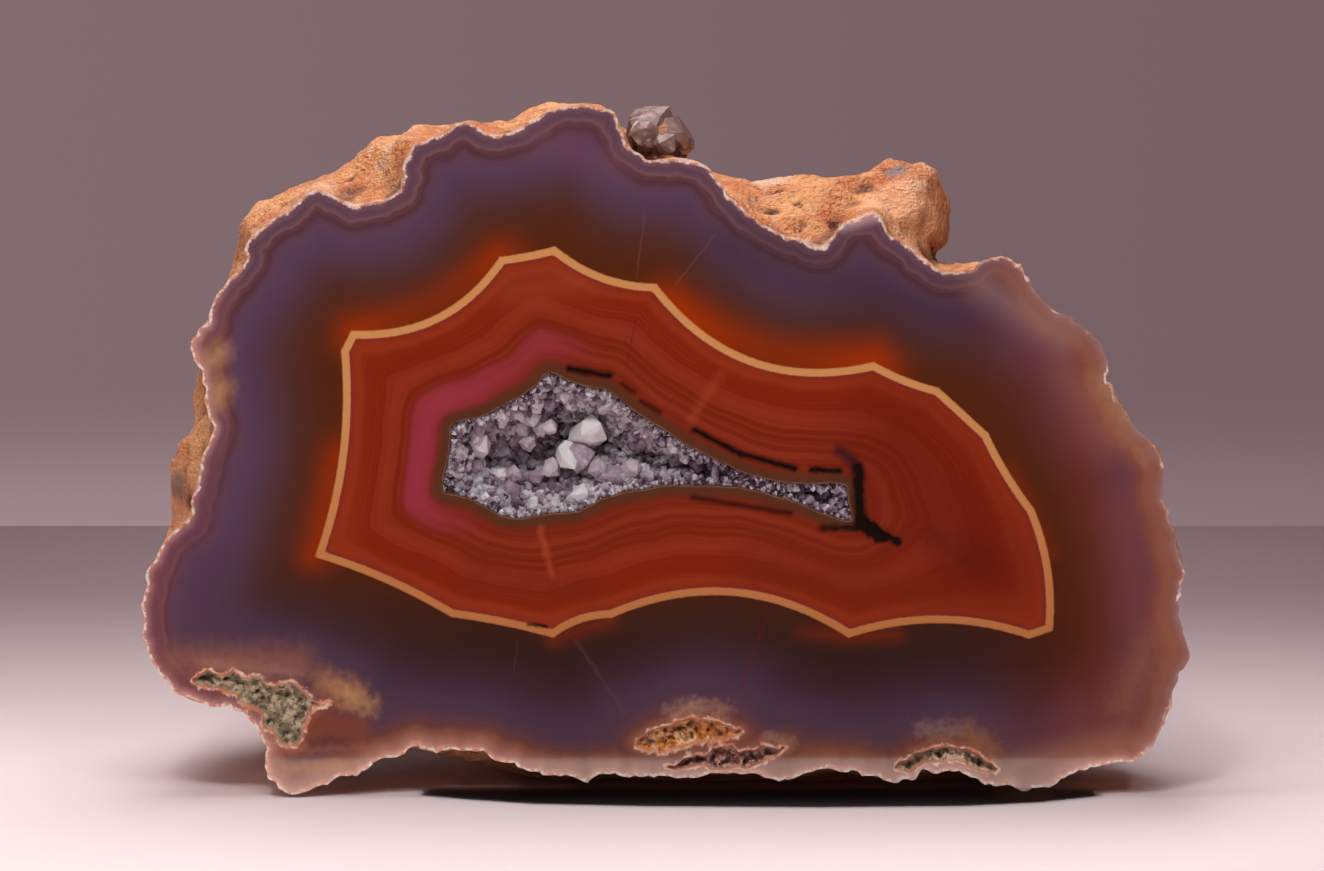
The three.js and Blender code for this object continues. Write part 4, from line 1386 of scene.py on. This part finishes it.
def frayed(flat: np.ndarray) -> np.ndarray:
    """How far the rind's thin edge is chipped sideways at places on the face."""
    places = lifted(flat)
    coarse = np.stack([value_noise(places, 1.5, 71), value_noise(places, 1.5, 72)], axis=1)
    fine = np.stack([value_noise(places, 0.7, 73), value_noise(places, 0.7, 74)], axis=1)
    return coarse * 0.30 + fine * 0.24


def largest_island(work: bmesh.types.BMesh) -> set:
    """The corners of the largest connected part of a mesh."""
    left = set(work.verts)
    best: set = set()
    while left:
        start = left.pop()
        found, edge_of_search = {start}, [start]
        while edge_of_search:
            here = edge_of_search.pop()
            for edge in here.link_edges:
                there = edge.other_vert(here)
                if there in left:
                    left.discard(there)
                    found.add(there)
                    edge_of_search.append(there)
        if len(found) > len(best):
            best = found
    return best


def longest_rim(work: bmesh.types.BMesh) -> np.ndarray:
    """The open rim with the most corners, as x and z in order."""
    after: dict = {}
    for edge in work.edges:
        if len(edge.link_faces) == 1:
            for vert in edge.verts:
                after.setdefault(vert, []).append(edge.other_vert(vert))
    best: list = []
    seen: set = set()
    for start in after:
        if start in seen:
            continue
        loop, here = [start], start
        seen.add(start)
        while True:
            ahead = [vert for vert in after[here] if vert not in seen]
            if not ahead:
                break
            here = ahead[0]
            seen.add(here)
            loop.append(here)
        if len(loop) > len(best):
            best = loop
    return np.array([(vert.co.x, vert.co.z) for vert in best])


def edges_of(quads: np.ndarray) -> np.ndarray:
    """The edges of faces with equal numbers of corners, each once for each face."""
    sides = quads.shape[1]
    return np.vstack([np.stack([quads[:, i], quads[:, (i + 1) % sides]], 1) for i in range(sides)])


def relaxed(corners: np.ndarray, quads: np.ndarray, rounds: int) -> np.ndarray:
    """Moves each corner towards its neighbours, a number of times."""
    ends = edges_of(quads)
    count = np.bincount(ends.ravel(), minlength=len(corners))
    for _ in range(rounds):
        total = np.zeros_like(corners)
        for k in range(3):
            total[:, k] = np.bincount(ends[:, 0], corners[ends[:, 1], k], len(corners))
            total[:, k] += np.bincount(ends[:, 1], corners[ends[:, 0], k], len(corners))
        corners = 0.5 * corners + 0.5 * total / np.maximum(count, 1)[:, None]
    return corners


def corner_normals(corners: np.ndarray, faces: np.ndarray) -> np.ndarray:
    """The outward direction at each corner."""
    across = corners[faces[:, 2]] - corners[faces[:, 0]]
    along = corners[faces[:, -1]] - corners[faces[:, 1]]
    normal = np.cross(across, along)
    total = np.zeros_like(corners)
    for i in range(faces.shape[1]):
        for k in range(3):
            total[:, k] += np.bincount(faces[:, i], normal[:, k], len(corners))
    return total / np.maximum(np.linalg.norm(total, axis=1, keepdims=True), 1e-9)


@dataclass
class Recess:
    """A hollow in the face, from its outline to a rough floor."""

    name: str
    outline: np.ndarray
    floor: Callable[[np.ndarray, np.ndarray], np.ndarray]
    step: float
    seed: int

    def build(self, plane: FacePlane) -> tuple[Piece, np.ndarray, np.ndarray]:
        """Makes the recess.

        Args:
            plane: The face plane.

        Returns:
            The piece, its places on the face and its triangles.
        """
        loose = scatter_inside(self.outline, [], self.step, self.seed)
        flat, triangles = fill_loops(self.outline, [], loose)
        gap = distance_to_loop(flat, self.outline)
        depth = np.where(gap < 1e-4, 0.0, self.floor(flat, gap))
        places = np.column_stack([flat[:, 0], depth, flat[:, 1]])
        faces = facing_front(places, triangles)
        piece = build_piece(self.name, plane.to_row(places), faces, smooth=False)
        store_place(piece, places)
        store_field(piece, "edge_mm", gap)
        store_field(piece, "hump", relaxed(places, faces, 12)[:, 1] - depth)
        return piece, places, faces


def facing_front(places: np.ndarray, triangles: np.ndarray) -> np.ndarray:
    """Turns triangles so that they look out of the face."""
    a, b, c = (places[triangles[:, i]][:, [0, 2]] for i in range(3))
    turn = (b[:, 0] - a[:, 0]) * (c[:, 1] - a[:, 1]) - (b[:, 1] - a[:, 1]) * (c[:, 0] - a[:, 0])
    return np.where((turn > 0)[:, None], triangles, triangles[:, ::-1])


@dataclass
class PolishedFace:
    """The polished face, filled in between the rind's rim and the recesses."""

    plane: FacePlane
    rim: np.ndarray
    holes: list[np.ndarray]
    step: float = 0.5

    def build(self) -> Piece:
        """Makes the face with the fields that its bands follow.

        Returns:
            The face piece.
        """
        line = arc_loop(YELLOW_LINE, 0.25)
        beside = [self.beside_line(line, shift) for shift in (0.0, -0.35, -0.8, -1.2, 0.35, 0.8)]
        extra = np.vstack(beside)
        loose = scatter_inside(self.rim, self.holes, self.step, 4)
        loose = loose[np.abs(distance_to_loop(loose, line)) > 1.0]
        keep = inside_loop(extra, self.rim)
        flat, triangles = fill_loops(self.rim, self.holes, np.vstack([loose, extra[keep]]))
        rim_gap = distance_to_loop(flat, self.rim)
        line_gap = distance_to_loop(flat, line)
        line_gap = np.where(inside_loop(flat, line), -line_gap, line_gap)
        hollow, *vugs = self.holes
        places = np.column_stack([flat[:, 0], np.zeros(len(flat)), flat[:, 1]])
        faces = facing_front(places, triangles)
        piece = build_piece("polished_face", self.plane.to_row(places), faces, smooth=True)
        store_place(piece, places)
        store_field(piece, "rim_mm", rim_gap)
        store_field(piece, "line_mm", line_gap)
        store_field(piece, "hollow_mm", distance_to_loop(flat, hollow))
        store_field(piece, "vug_mm", np.min([distance_to_loop(flat, vug) for vug in vugs], axis=0))
        self.unwrap(piece, flat)
        return piece

    @staticmethod
    def beside_line(line: np.ndarray, shift: float) -> np.ndarray:
        """Points beside a clockwise line, outside it where shift is above 0."""
        along = np.roll(line, -1, 0) - np.roll(line, 1, 0)
        along /= np.maximum(np.linalg.norm(along, axis=1, keepdims=True), 1e-9)
        points = line + np.column_stack([-along[:, 1], along[:, 0]]) * shift
        return points[distance_to_loop(points, line) > abs(shift) - 0.02]

    @staticmethod
    def unwrap(piece: Piece, flat: np.ndarray) -> None:
        """Lays the face flat in a map of its own, named OFBake."""
        low, high = flat.min(0), flat.max(0)
        spread = (flat - low) / (high - low).max() * 0.98 + 0.01
        layer = piece.data.uv_layers.new(name="OFBake")
        corner_of = np.empty(len(piece.data.loops), dtype=int)
        piece.data.loops.foreach_get("vertex_index", corner_of)
        layer.data.foreach_set("uv", spread[corner_of].ravel())


@dataclass
class Druse:
    """The crystals of the hollow."""

    plane: FacePlane
    outline: np.ndarray
    seed: int = 17
    bowl_depth: float = 8.2
    bowl_reach: float = 4.6
    lip_depth: float = 0.75
    hole_depth: float = 2.6
    grain: float = 1.3

    def bed_depth(self, flat: np.ndarray, gap: np.ndarray) -> np.ndarray:
        """How deep the crystals' bed lies behind the face."""
        places = lifted(flat)
        rough, _ = cell_distance(places, self.grain, 31)
        bowl = self.bowl_depth * (1 - np.exp(-((gap / self.bowl_reach) ** 1.35)))
        wall = self.lip_depth * (1 - np.exp(-gap / 0.12)) + 0.5 * ramp(gap, 0.2, 1.0)
        across, up = flat[:, 0] - DARK_HOLE[0], flat[:, 1] - DARK_HOLE[1]
        dark_hole = self.hole_depth * np.exp(-(across**2) / 2.4 - (up**2) / 0.9)
        return wall + bowl + dark_hole + (rough - 0.5) * 0.9 * ramp(gap, 0.1, 0.8)

    def build(self) -> list[Piece]:
        """Makes the bed and the crystals on it.

        Returns:
            The bed, the clear crystals and the milky crystals.
        """
        bed = Recess("druse_bed", self.outline, self.bed_depth, step=0.34, seed=6)
        piece, places, faces = bed.build(self.plane)
        random = np.random.default_rng(self.seed)
        centre = places[faces].mean(1)
        a, b, c = (places[faces[:, i]] for i in range(3))
        normal = np.cross(b - a, c - a)
        area = np.linalg.norm(normal, axis=1)
        normal = normal / np.maximum(area[:, None], 1e-9)
        normal[normal[:, 1] > 0] *= -1
        gap = distance_to_loop(centre[:, [0, 2]], self.outline)
        near_edge = area * (gap < 1.1)
        near_hole = np.hypot(centre[:, 0] - DARK_HOLE[0], (centre[:, 2] - DARK_HOLE[1]) * 1.5) < 1.5
        open_area = area * np.where(near_hole, 0.15, 1.0)
        bases = (centre, normal, gap)
        tiny = self.crystals(random, bases, near_edge, count=1500, size=(0.12, 0.28))
        small = self.crystals(random, bases, open_area, count=2300, size=(0.22, 0.60))
        large = self.crystals(random, bases, open_area, count=240, size=(0.6, 1.1))
        milky = self.crystals(random, bases, open_area, count=620, size=(0.18, 0.7))
        return [
            piece,
            self.joined("clear_crystals", [*tiny, *small, *large]),
            self.joined("milky_crystals", [*milky, *self.show_crystals(random)]),
        ]

    @staticmethod
    def crystals(
        random: np.random.Generator,
        bases: tuple[np.ndarray, np.ndarray, np.ndarray],
        weight: np.ndarray,
        count: int,
        size: tuple[float, float],
    ) -> list[tuple[np.ndarray, list]]:
        """Stands crystals on the bed at random places.

        Args:
            random: The source of the places and sizes.
            bases: The middles of the bed's faces, their outward directions and their distances to the rim.
            weight: How likely each face is to carry a crystal.
            count: How many crystals are tried.
            size: The smallest and the largest radius.

        Returns:
            The corners and faces of each crystal.
        """
        centre, normal, gap = bases
        picked = random.choice(len(centre), count, p=weight / weight.sum())
        made = []
        for index in picked:
            radius = random.uniform(*size) * random.uniform(0.7, 1.0)
            foot = centre[index] + normal[index] * -0.3 * radius
            lean = normal[index] * 0.9 + np.array([0.0, -0.55, 0.0]) + random.normal(0, 0.33, 3)
            lean /= np.linalg.norm(lean)
            length = radius * random.uniform(1.4, 2.7)
            tip_depth = foot[1] + lean[1] * length
            if tip_depth < 0.25:
                length *= max((foot[1] - 0.25) / max(foot[1] - tip_depth, 1e-6), 0.0)
            radius = min(radius, max(gap[index] * 0.9, 0.14))
            if length < radius * 0.9:
                continue
            made.append(hex_crystal(random, foot, lean, radius, length))
        return made

    def show_crystals(self, random: np.random.Generator) -> list[tuple[np.ndarray, list]]:
        """The large pale crystals that stand out in the hollow."""
        made = []
        for x, z, depth, radius in SHOW_CRYSTALS:
            lean = np.array([random.normal(0, 0.35), -1.0, random.normal(0, 0.35)])
            lean /= np.linalg.norm(lean)
            tip = np.array([x, depth, z])
            length = radius * random.uniform(2.0, 2.8)
            made.append(hex_crystal(random, tip - lean * length, lean, radius, length))
        return made

    def joined(self, name: str, crystals: Iterable[tuple[np.ndarray, list]]) -> Piece:
        """Joins crystals into one piece."""
        corners, faces, start = [], [], 0
        for places, sides in crystals:
            corners.append(places)
            faces += [[start + i for i in side] for side in sides]
            start += len(places)
        places = np.vstack(corners)
        piece = build_piece(name, self.plane.to_row(places), faces, smooth=False)
        store_place(piece, places)
        tones = np.random.default_rng(self.seed + 1).uniform(0, 1, len(corners))
        store_field(piece, "tone", np.repeat(tones, [len(part) for part in corners]))
        return piece


@dataclass
class SmokyChips:
    """The broken smoky quartz that stands out of the rind beside the peak."""

    plane: FacePlane
    # The middle of each chip as x, depth behind the face and z, then its radius
    chips: tuple[tuple[float, float, float, float], ...] = (
        (1.9, 4.8, 69.7, 3.9), (0.9, 4.2, 71.0, 2.4), (3.4, 4.0, 70.0, 2.5), (2.6, 6.4, 70.0, 3.0),
        (4.0, 4.6, 68.9, 1.9), (2.7, 2.4, 69.1, 1.7), (0.5, 2.4, 70.0, 1.9), (3.6, 6.2, 69.2, 2.3),
    )
    corners_tried: int = 26
    flatness: float = 0.86

    def build(self) -> Piece:
        """Makes the chips.

        Returns:
            The chips, joined.
        """
        random = np.random.default_rng(5)
        work = bmesh.new()
        for *centre, radius in self.chips:
            points = random.normal(size=(self.corners_tried, 3))
            reach = radius * random.uniform(0.9, 1.02, (self.corners_tried, 1))
            points *= reach / np.linalg.norm(points, axis=1, keepdims=True)
            corners = np.array(centre) + points * (1.0, 1.0, self.flatness)
            verts = [work.verts.new(corner) for corner in corners]
            hull = bmesh.ops.convex_hull(work, input=verts)
            spare = [item for item in hull["geom_interior"] if isinstance(item, bmesh.types.BMVert)]
            bmesh.ops.delete(work, geom=spare, context="VERTS")
        work.verts.index_update()
        places = np.array([vert.co for vert in work.verts])
        faces = [[vert.index for vert in face.verts] for face in work.faces]
        work.free()
        piece = build_piece("smoky_chips", self.plane.to_row(places), faces, smooth=False)
        store_place(piece, places)
        store_field(piece, "tone", random.uniform(0.1, 0.6, len(places)))
        return piece


def hex_crystal(
    random: np.random.Generator, foot: np.ndarray, lean: np.ndarray, radius: float, length: float
) -> tuple[np.ndarray, list]:
    """Makes a six-sided crystal with a pointed end.

    Args:
        random: The source of its small irregularities.
        foot: The middle of its foot.
        lean: The direction that it points in.
        radius: Its radius.
        length: Its length from foot to tip.

    Returns:
        Its corners and its faces.
    """
    helper = np.array([1.0, 0, 0]) if abs(lean[0]) < 0.8 else np.array([0, 0, 1.0])
    side = np.cross(lean, helper)
    side /= np.linalg.norm(side)
    other = np.cross(lean, side)
    twist = random.uniform(0, math.pi)
    angles = twist + np.arange(6) * math.pi / 3
    reach = radius * np.where(np.arange(6) % 2, 1.12, 0.92) * random.uniform(0.92, 1.08, 6)
    turned = np.cos(angles)[:, None] * side + np.sin(angles)[:, None] * other
    ring = turned * reach[:, None]
    shoulder = max(length - radius * random.uniform(1.0, 1.35), length * 0.15)
    lifts = shoulder + radius * random.uniform(-0.16, 0.16, 6)
    upper = foot + ring * 0.96 + lean * lifts[:, None]
    tip = foot + lean * length + side * radius * random.uniform(-0.18, 0.18)
    corners = np.vstack([foot + ring, upper, tip])
    faces = [[i, (i + 1) % 6, 6 + (i + 1) % 6, 6 + i] for i in range(6)]
    faces += [[6 + i, 6 + (i + 1) % 6, 12] for i in range(6)]
    faces.append([5, 4, 3, 2, 1, 0])
    return corners, faces


def rock_floor(deep: float, coarse: float, seed: int) -> Callable[[np.ndarray, np.ndarray], np.ndarray]:
    """Makes the floor of a recess of broken rock.

    Args:
        deep: Its usual depth behind the face.
        coarse: The size of its grains.
        seed: Picks one pattern.

    Returns:
        A function from places and their distance to the outline to depths.
    """

    def depth(flat: np.ndarray, gap: np.ndarray) -> np.ndarray:
        """How deep the floor lies at each place."""
        places = lifted(flat)
        grains, pick = cell_distance(places, coarse, seed)
        wall = deep * (1 - np.exp(-gap / 0.35))
        rough = (grains - 0.5) * 0.55 + (pick - 0.5) * 0.5
        rough = rough + 0.3 * value_noise(places, coarse * 0.5, seed + 4)
        return np.maximum(wall + rough * deep * ramp(gap, 0.05, 0.6), 0.05)

    return depth


# The studio


@dataclass
class Studio:
    """The pale floor, the soft lights, the surroundings and the camera."""

    target: Vector
    elevation: float = math.radians(7.0)
    distance: float = 346.0 * MM
    lens: float = 89.7

    def build(self) -> None:
        """Sets everything up."""
        self.floor()
        black = (0.0, 0.0, 0.0, 1.0)
        # The polished face mirrors this card instead of the far floor
        side, near, top = 0.35, -0.054, 0.1
        standing = [(-side, near, 0.0), (side, near, 0.0), (side, near, top), (-side, near, top)]
        self.card("dark_card", standing, black, 0.0)
        # The foot of the face mirrors this one, which gives it a pale strip
        side, near, far, height = 0.25, -0.0535, -0.024, 0.4 * MM
        lying = [(-side, near, height), (side, near, height), (side, far, height), (-side, far, height)]
        self.card("bright_card", lying, srgb(255, 238, 232), 2.4)
        # Only light meets this one, which widens the shadow below the foot
        shade = [(x * MM, y * MM, SHADE_HEIGHT_MM * MM) for x, y in FOOT_SHADE]
        foot_shade = self.card("foot_shade", shade, black, 0.0)
        foot_shade.visible_glossy = False
        foot_shade.visible_shadow = True
        foot_shade.visible_diffuse = True
        self.surroundings()
        self.light("overhead", (-0.03, 0.03, 0.26), (-0.01, 0.0, 0.0), (0.24, 0.09), 0.58)
        self.light("sparkle", (-0.08, -0.25, 0.38), (-0.01, -0.02, 0.035), (0.05, 0.05), 0.34)
        self.light("sparkle left", (-0.22, -0.34, 0.30), (-0.01, -0.02, 0.035), (0.03, 0.03), 0.12)
        self.light("sparkle right", (0.16, -0.30, 0.34), (-0.01, -0.02, 0.035), (0.03, 0.03), 0.12)
        self.light("rear", (-0.30, 0.55, 0.28), (0.0, 0.0, 0.03), (0.3, 0.3), 0.45)
        front = self.light("front", (0.0, -0.21, 0.34), (0.0, -0.01, 0.030), (0.34, 0.10), 0.42)
        front.visible_glossy = False
        self.camera()

    @staticmethod
    def floor() -> None:
        """Lays the pale floor, with a painted falloff of light that darkens it towards the back."""
        mesh = bpy.data.meshes.new("floor")
        side, back = 1.2, 0.172
        corners = [(-side, -side, 0.0), (side, -side, 0.0), (side, back, 0.0), (-side, back, 0.0)]
        mesh.from_pydata(corners, [], [(0, 1, 2, 3)])
        floor = bpy.data.objects.new("floor", mesh)
        bpy.context.scene.collection.objects.link(floor)
        material, sheet, shader = new_material("pale floor")
        place = sheet.node("ShaderNodeTexCoord").outputs["Object"]
        _, y, _ = sheet.split(place)
        # Painted falloff of light: the floor is painted darker towards the back
        colour = sheet.mix(sheet.ease(y, -0.06, 0.12), srgb(245, 225, 226), srgb(148, 125, 129))
        sheet.feed(shader.inputs["Base Color"], colour)
        shader.inputs["Roughness"].default_value = 0.9
        shader.inputs["Specular IOR Level"].default_value = 0.0
        mesh.materials.append(material)

    @staticmethod
    def card(name: str, corners: Sequence[Place], glow: Colour, strength: float) -> Piece:
        """Sets up a flat card that the camera doesn't see, but reflections do.

        Args:
            name: Its name.
            corners: Its corners, in order.
            glow: The colour that it shines in.
            strength: How strongly it shines.

        Returns:
            The card.
        """
        mesh = bpy.data.meshes.new(name)
        mesh.from_pydata(corners, [], [tuple(range(len(corners)))])
        card = bpy.data.objects.new(name, mesh)
        bpy.context.scene.collection.objects.link(card)
        material, _, shader = new_material(name.replace("_", " "))
        shader.inputs["Base Color"].default_value = (0.004, 0.004, 0.004, 1.0)
        shader.inputs["Roughness"].default_value = 1.0
        shader.inputs["Emission Color"].default_value = glow
        shader.inputs["Emission Strength"].default_value = strength
        mesh.materials.append(material)
        card.visible_camera = False
        card.visible_diffuse = False
        card.visible_shadow = False
        card.visible_transmission = False
        return card

    @staticmethod
    def surroundings() -> None:
        """Puts a soft mauve grey all around, lighter low down."""
        world = bpy.data.worlds.new("surroundings")
        bpy.context.scene.world = world
        world.use_nodes = True
        sheet = Sheet(world.node_tree)
        direction = sheet.node("ShaderNodeTexCoord").outputs["Generated"]
        across, _, up = sheet.split(direction)
        low = sheet.ease(up, -0.150, -0.105)
        left = sheet.mix(low, srgb(160, 135, 139), srgb(129, 107, 110))
        right = sheet.mix(low, srgb(139, 116, 120), srgb(118, 96, 99))
        colour = sheet.mix(sheet.ease(across, -0.22, 0.22), left, right)
        colour = sheet.mix(sheet.ease(up, 0.03, 0.25), colour, srgb(58, 50, 52))
        background = world.node_tree.nodes["Background"]
        sheet.feed(background.inputs["Color"], colour)
        background.inputs["Strength"].default_value = 1.0

    @staticmethod
    def light(name: str, at: Place, towards: Place, size: tuple[float, float], watts: float) -> Piece:
        """Hangs one soft light.

        Args:
            name: Its name.
            at: Where it hangs.
            towards: Where it shines.
            size: Its width and height.
            watts: Its power.

        Returns:
            The light.
        """
        data = bpy.data.lights.new(name, "AREA")
        data.shape = "RECTANGLE"
        data.size, data.size_y = size
        data.energy = watts
        lamp = bpy.data.objects.new(name, data)
        lamp.location = at
        lamp.rotation_mode = "QUATERNION"
        lamp.rotation_quaternion = (Vector(towards) - Vector(at)).to_track_quat("-Z", "Y")
        bpy.context.scene.collection.objects.link(lamp)
        return lamp

    def camera(self) -> None:
        """Puts the camera at the photo's angle."""
        data = bpy.data.cameras.new("camera")
        data.lens = self.lens
        data.clip_start = 0.01
        camera = bpy.data.objects.new("camera", data)
        back = Vector((0.0, -math.cos(self.elevation), math.sin(self.elevation)))
        camera.location = self.target + back * self.distance
        camera.rotation_mode = "QUATERNION"
        camera.rotation_quaternion = (-back).to_track_quat("-Z", "Y")
        bpy.context.scene.collection.objects.link(camera)
        bpy.context.scene.camera = camera


def kept_inside(loop: np.ndarray, rim: np.ndarray, margin: float) -> np.ndarray:
    """Moves an outline's points in where they come too near the rim of the face."""
    centre = loop.mean(0)
    for _ in range(6):
        short = np.maximum(margin - distance_to_loop(loop, rim), 0)
        short = np.where(inside_loop(loop, rim), short, margin + 0.3)
        inward = centre - loop
        inward /= np.maximum(np.linalg.norm(inward, axis=1, keepdims=True), 1e-9)
        loop = loop + inward * short[:, None]
    return loop


def dress(
    piece: Piece, material: Material, nodes: Sequence[str]
) -> Piece:
    """Gives a piece its material and hides the CAD nodes that it stands for.

    Args:
        piece: The piece.
        material: Its material.
        nodes: The CAD nodes that it replaces.

    Returns:
        The piece.
    """
    piece.data.materials.append(material)
    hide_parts(*nodes)
    log.info("%s: %d corners, %d faces", piece.name, len(piece.data.vertices), len(piece.data.polygons))
    return piece


def main() -> None:
    """Builds the stone and its studio in order."""
    logging.basicConfig(level=logging.INFO, format="%(message)s")
    bpy.context.scene.view_settings.view_transform = "Standard"
    plane = FacePlane.of_cad()
    shared = SharedGroups.build()
    target = Vector(plane.to_row(np.array([AIM]))[0])
    Studio(target).build()

    rind = Rind(plane)
    dress(rind.build(), OchreRind().build(shared), ["agate_half"])

    smoky = (srgb(108, 76, 70), srgb(156, 122, 116), srgb(246, 226, 218))
    chip_quartz = QuartzCrystal("smoky quartz", *smoky, clear=0.1, roughness=0.25)
    dress(SmokyChips(plane).build(), chip_quartz.build(shared), ["agate_half"])

    hollow = ragged(smooth_loop(HOLLOW_RIM, step=0.3), reach=0.07, size=0.7, seed=3)
    outlines = {"hollow": hollow}
    rims = {"pocket": POCKET_RIM, "golden": GOLDEN_VUG_RIM, "pink": PINK_VUG_RIM, "cream": CREAM_VUG_RIM}
    for seed, (name, corners) in enumerate(rims.items()):
        loop = ragged(smooth_loop(corners, step=0.2), reach=0.42, size=1.3, seed=40 + seed)
        loop = ragged(loop, reach=0.16, size=0.5, seed=50 + seed)
        outlines[name] = kept_inside(loop, rind.rim_loop, margin=0.35)
    face = PolishedFace(plane, rind.rim_loop, list(outlines.values()))
    dress(face.build(), PolishedAgate().build(shared), ["agate_half"])

    bed, clear_crystals, milky_crystals = Druse(plane, hollow).build()
    dress(bed, SmokyBed().build(), ["quartz_druse"])
    clear = (srgb(94, 68, 88), srgb(206, 184, 200), srgb(255, 254, 255))
    clear_quartz = QuartzCrystal("clear quartz", *clear, clear=0.3, roughness=0.05)
    dress(clear_crystals, clear_quartz.build(shared), ["quartz_druse"])
    milky = (srgb(178, 152, 166), srgb(228, 214, 222), srgb(255, 254, 254))
    milky_quartz = QuartzCrystal("milky quartz", *milky, clear=0.15, roughness=0.1)
    dress(milky_crystals, milky_quartz.build(shared), ["quartz_druse"])

    rock_bottom = rock_floor(deep=0.9, coarse=0.9, seed=51)
    rock = Recess("host_rock", outlines["pocket"], rock_bottom, step=0.2, seed=7)
    rock_finish = RoughRock("host rock", srgb(204, 186, 154), srgb(150, 134, 98), srgb(98, 80, 70))
    dress(rock.build(plane)[0], rock_finish.build(shared), ["host_rock_inclusion"])

    finishes = {
        "golden": RoughRock("golden crust", srgb(226, 146, 70), srgb(250, 208, 156), srgb(164, 88, 38)),
        "pink": RoughRock("pink crust", srgb(214, 160, 142), srgb(122, 70, 58), srgb(240, 204, 184)),
        "cream": RoughRock("cream crust", srgb(232, 200, 172), srgb(160, 140, 108), srgb(116, 70, 52)),
    }
    for seed, (name, finish) in enumerate(finishes.items()):
        vug_bottom = rock_floor(deep=1.1, coarse=0.9, seed=60 + seed)
        vug = Recess(f"{name}_vug", outlines[name], vug_bottom, step=0.2, seed=8 + seed)
        dress(vug.build(plane)[0], finish.build(shared), ["agate_half"])


if __name__ == "__main__":
    main()
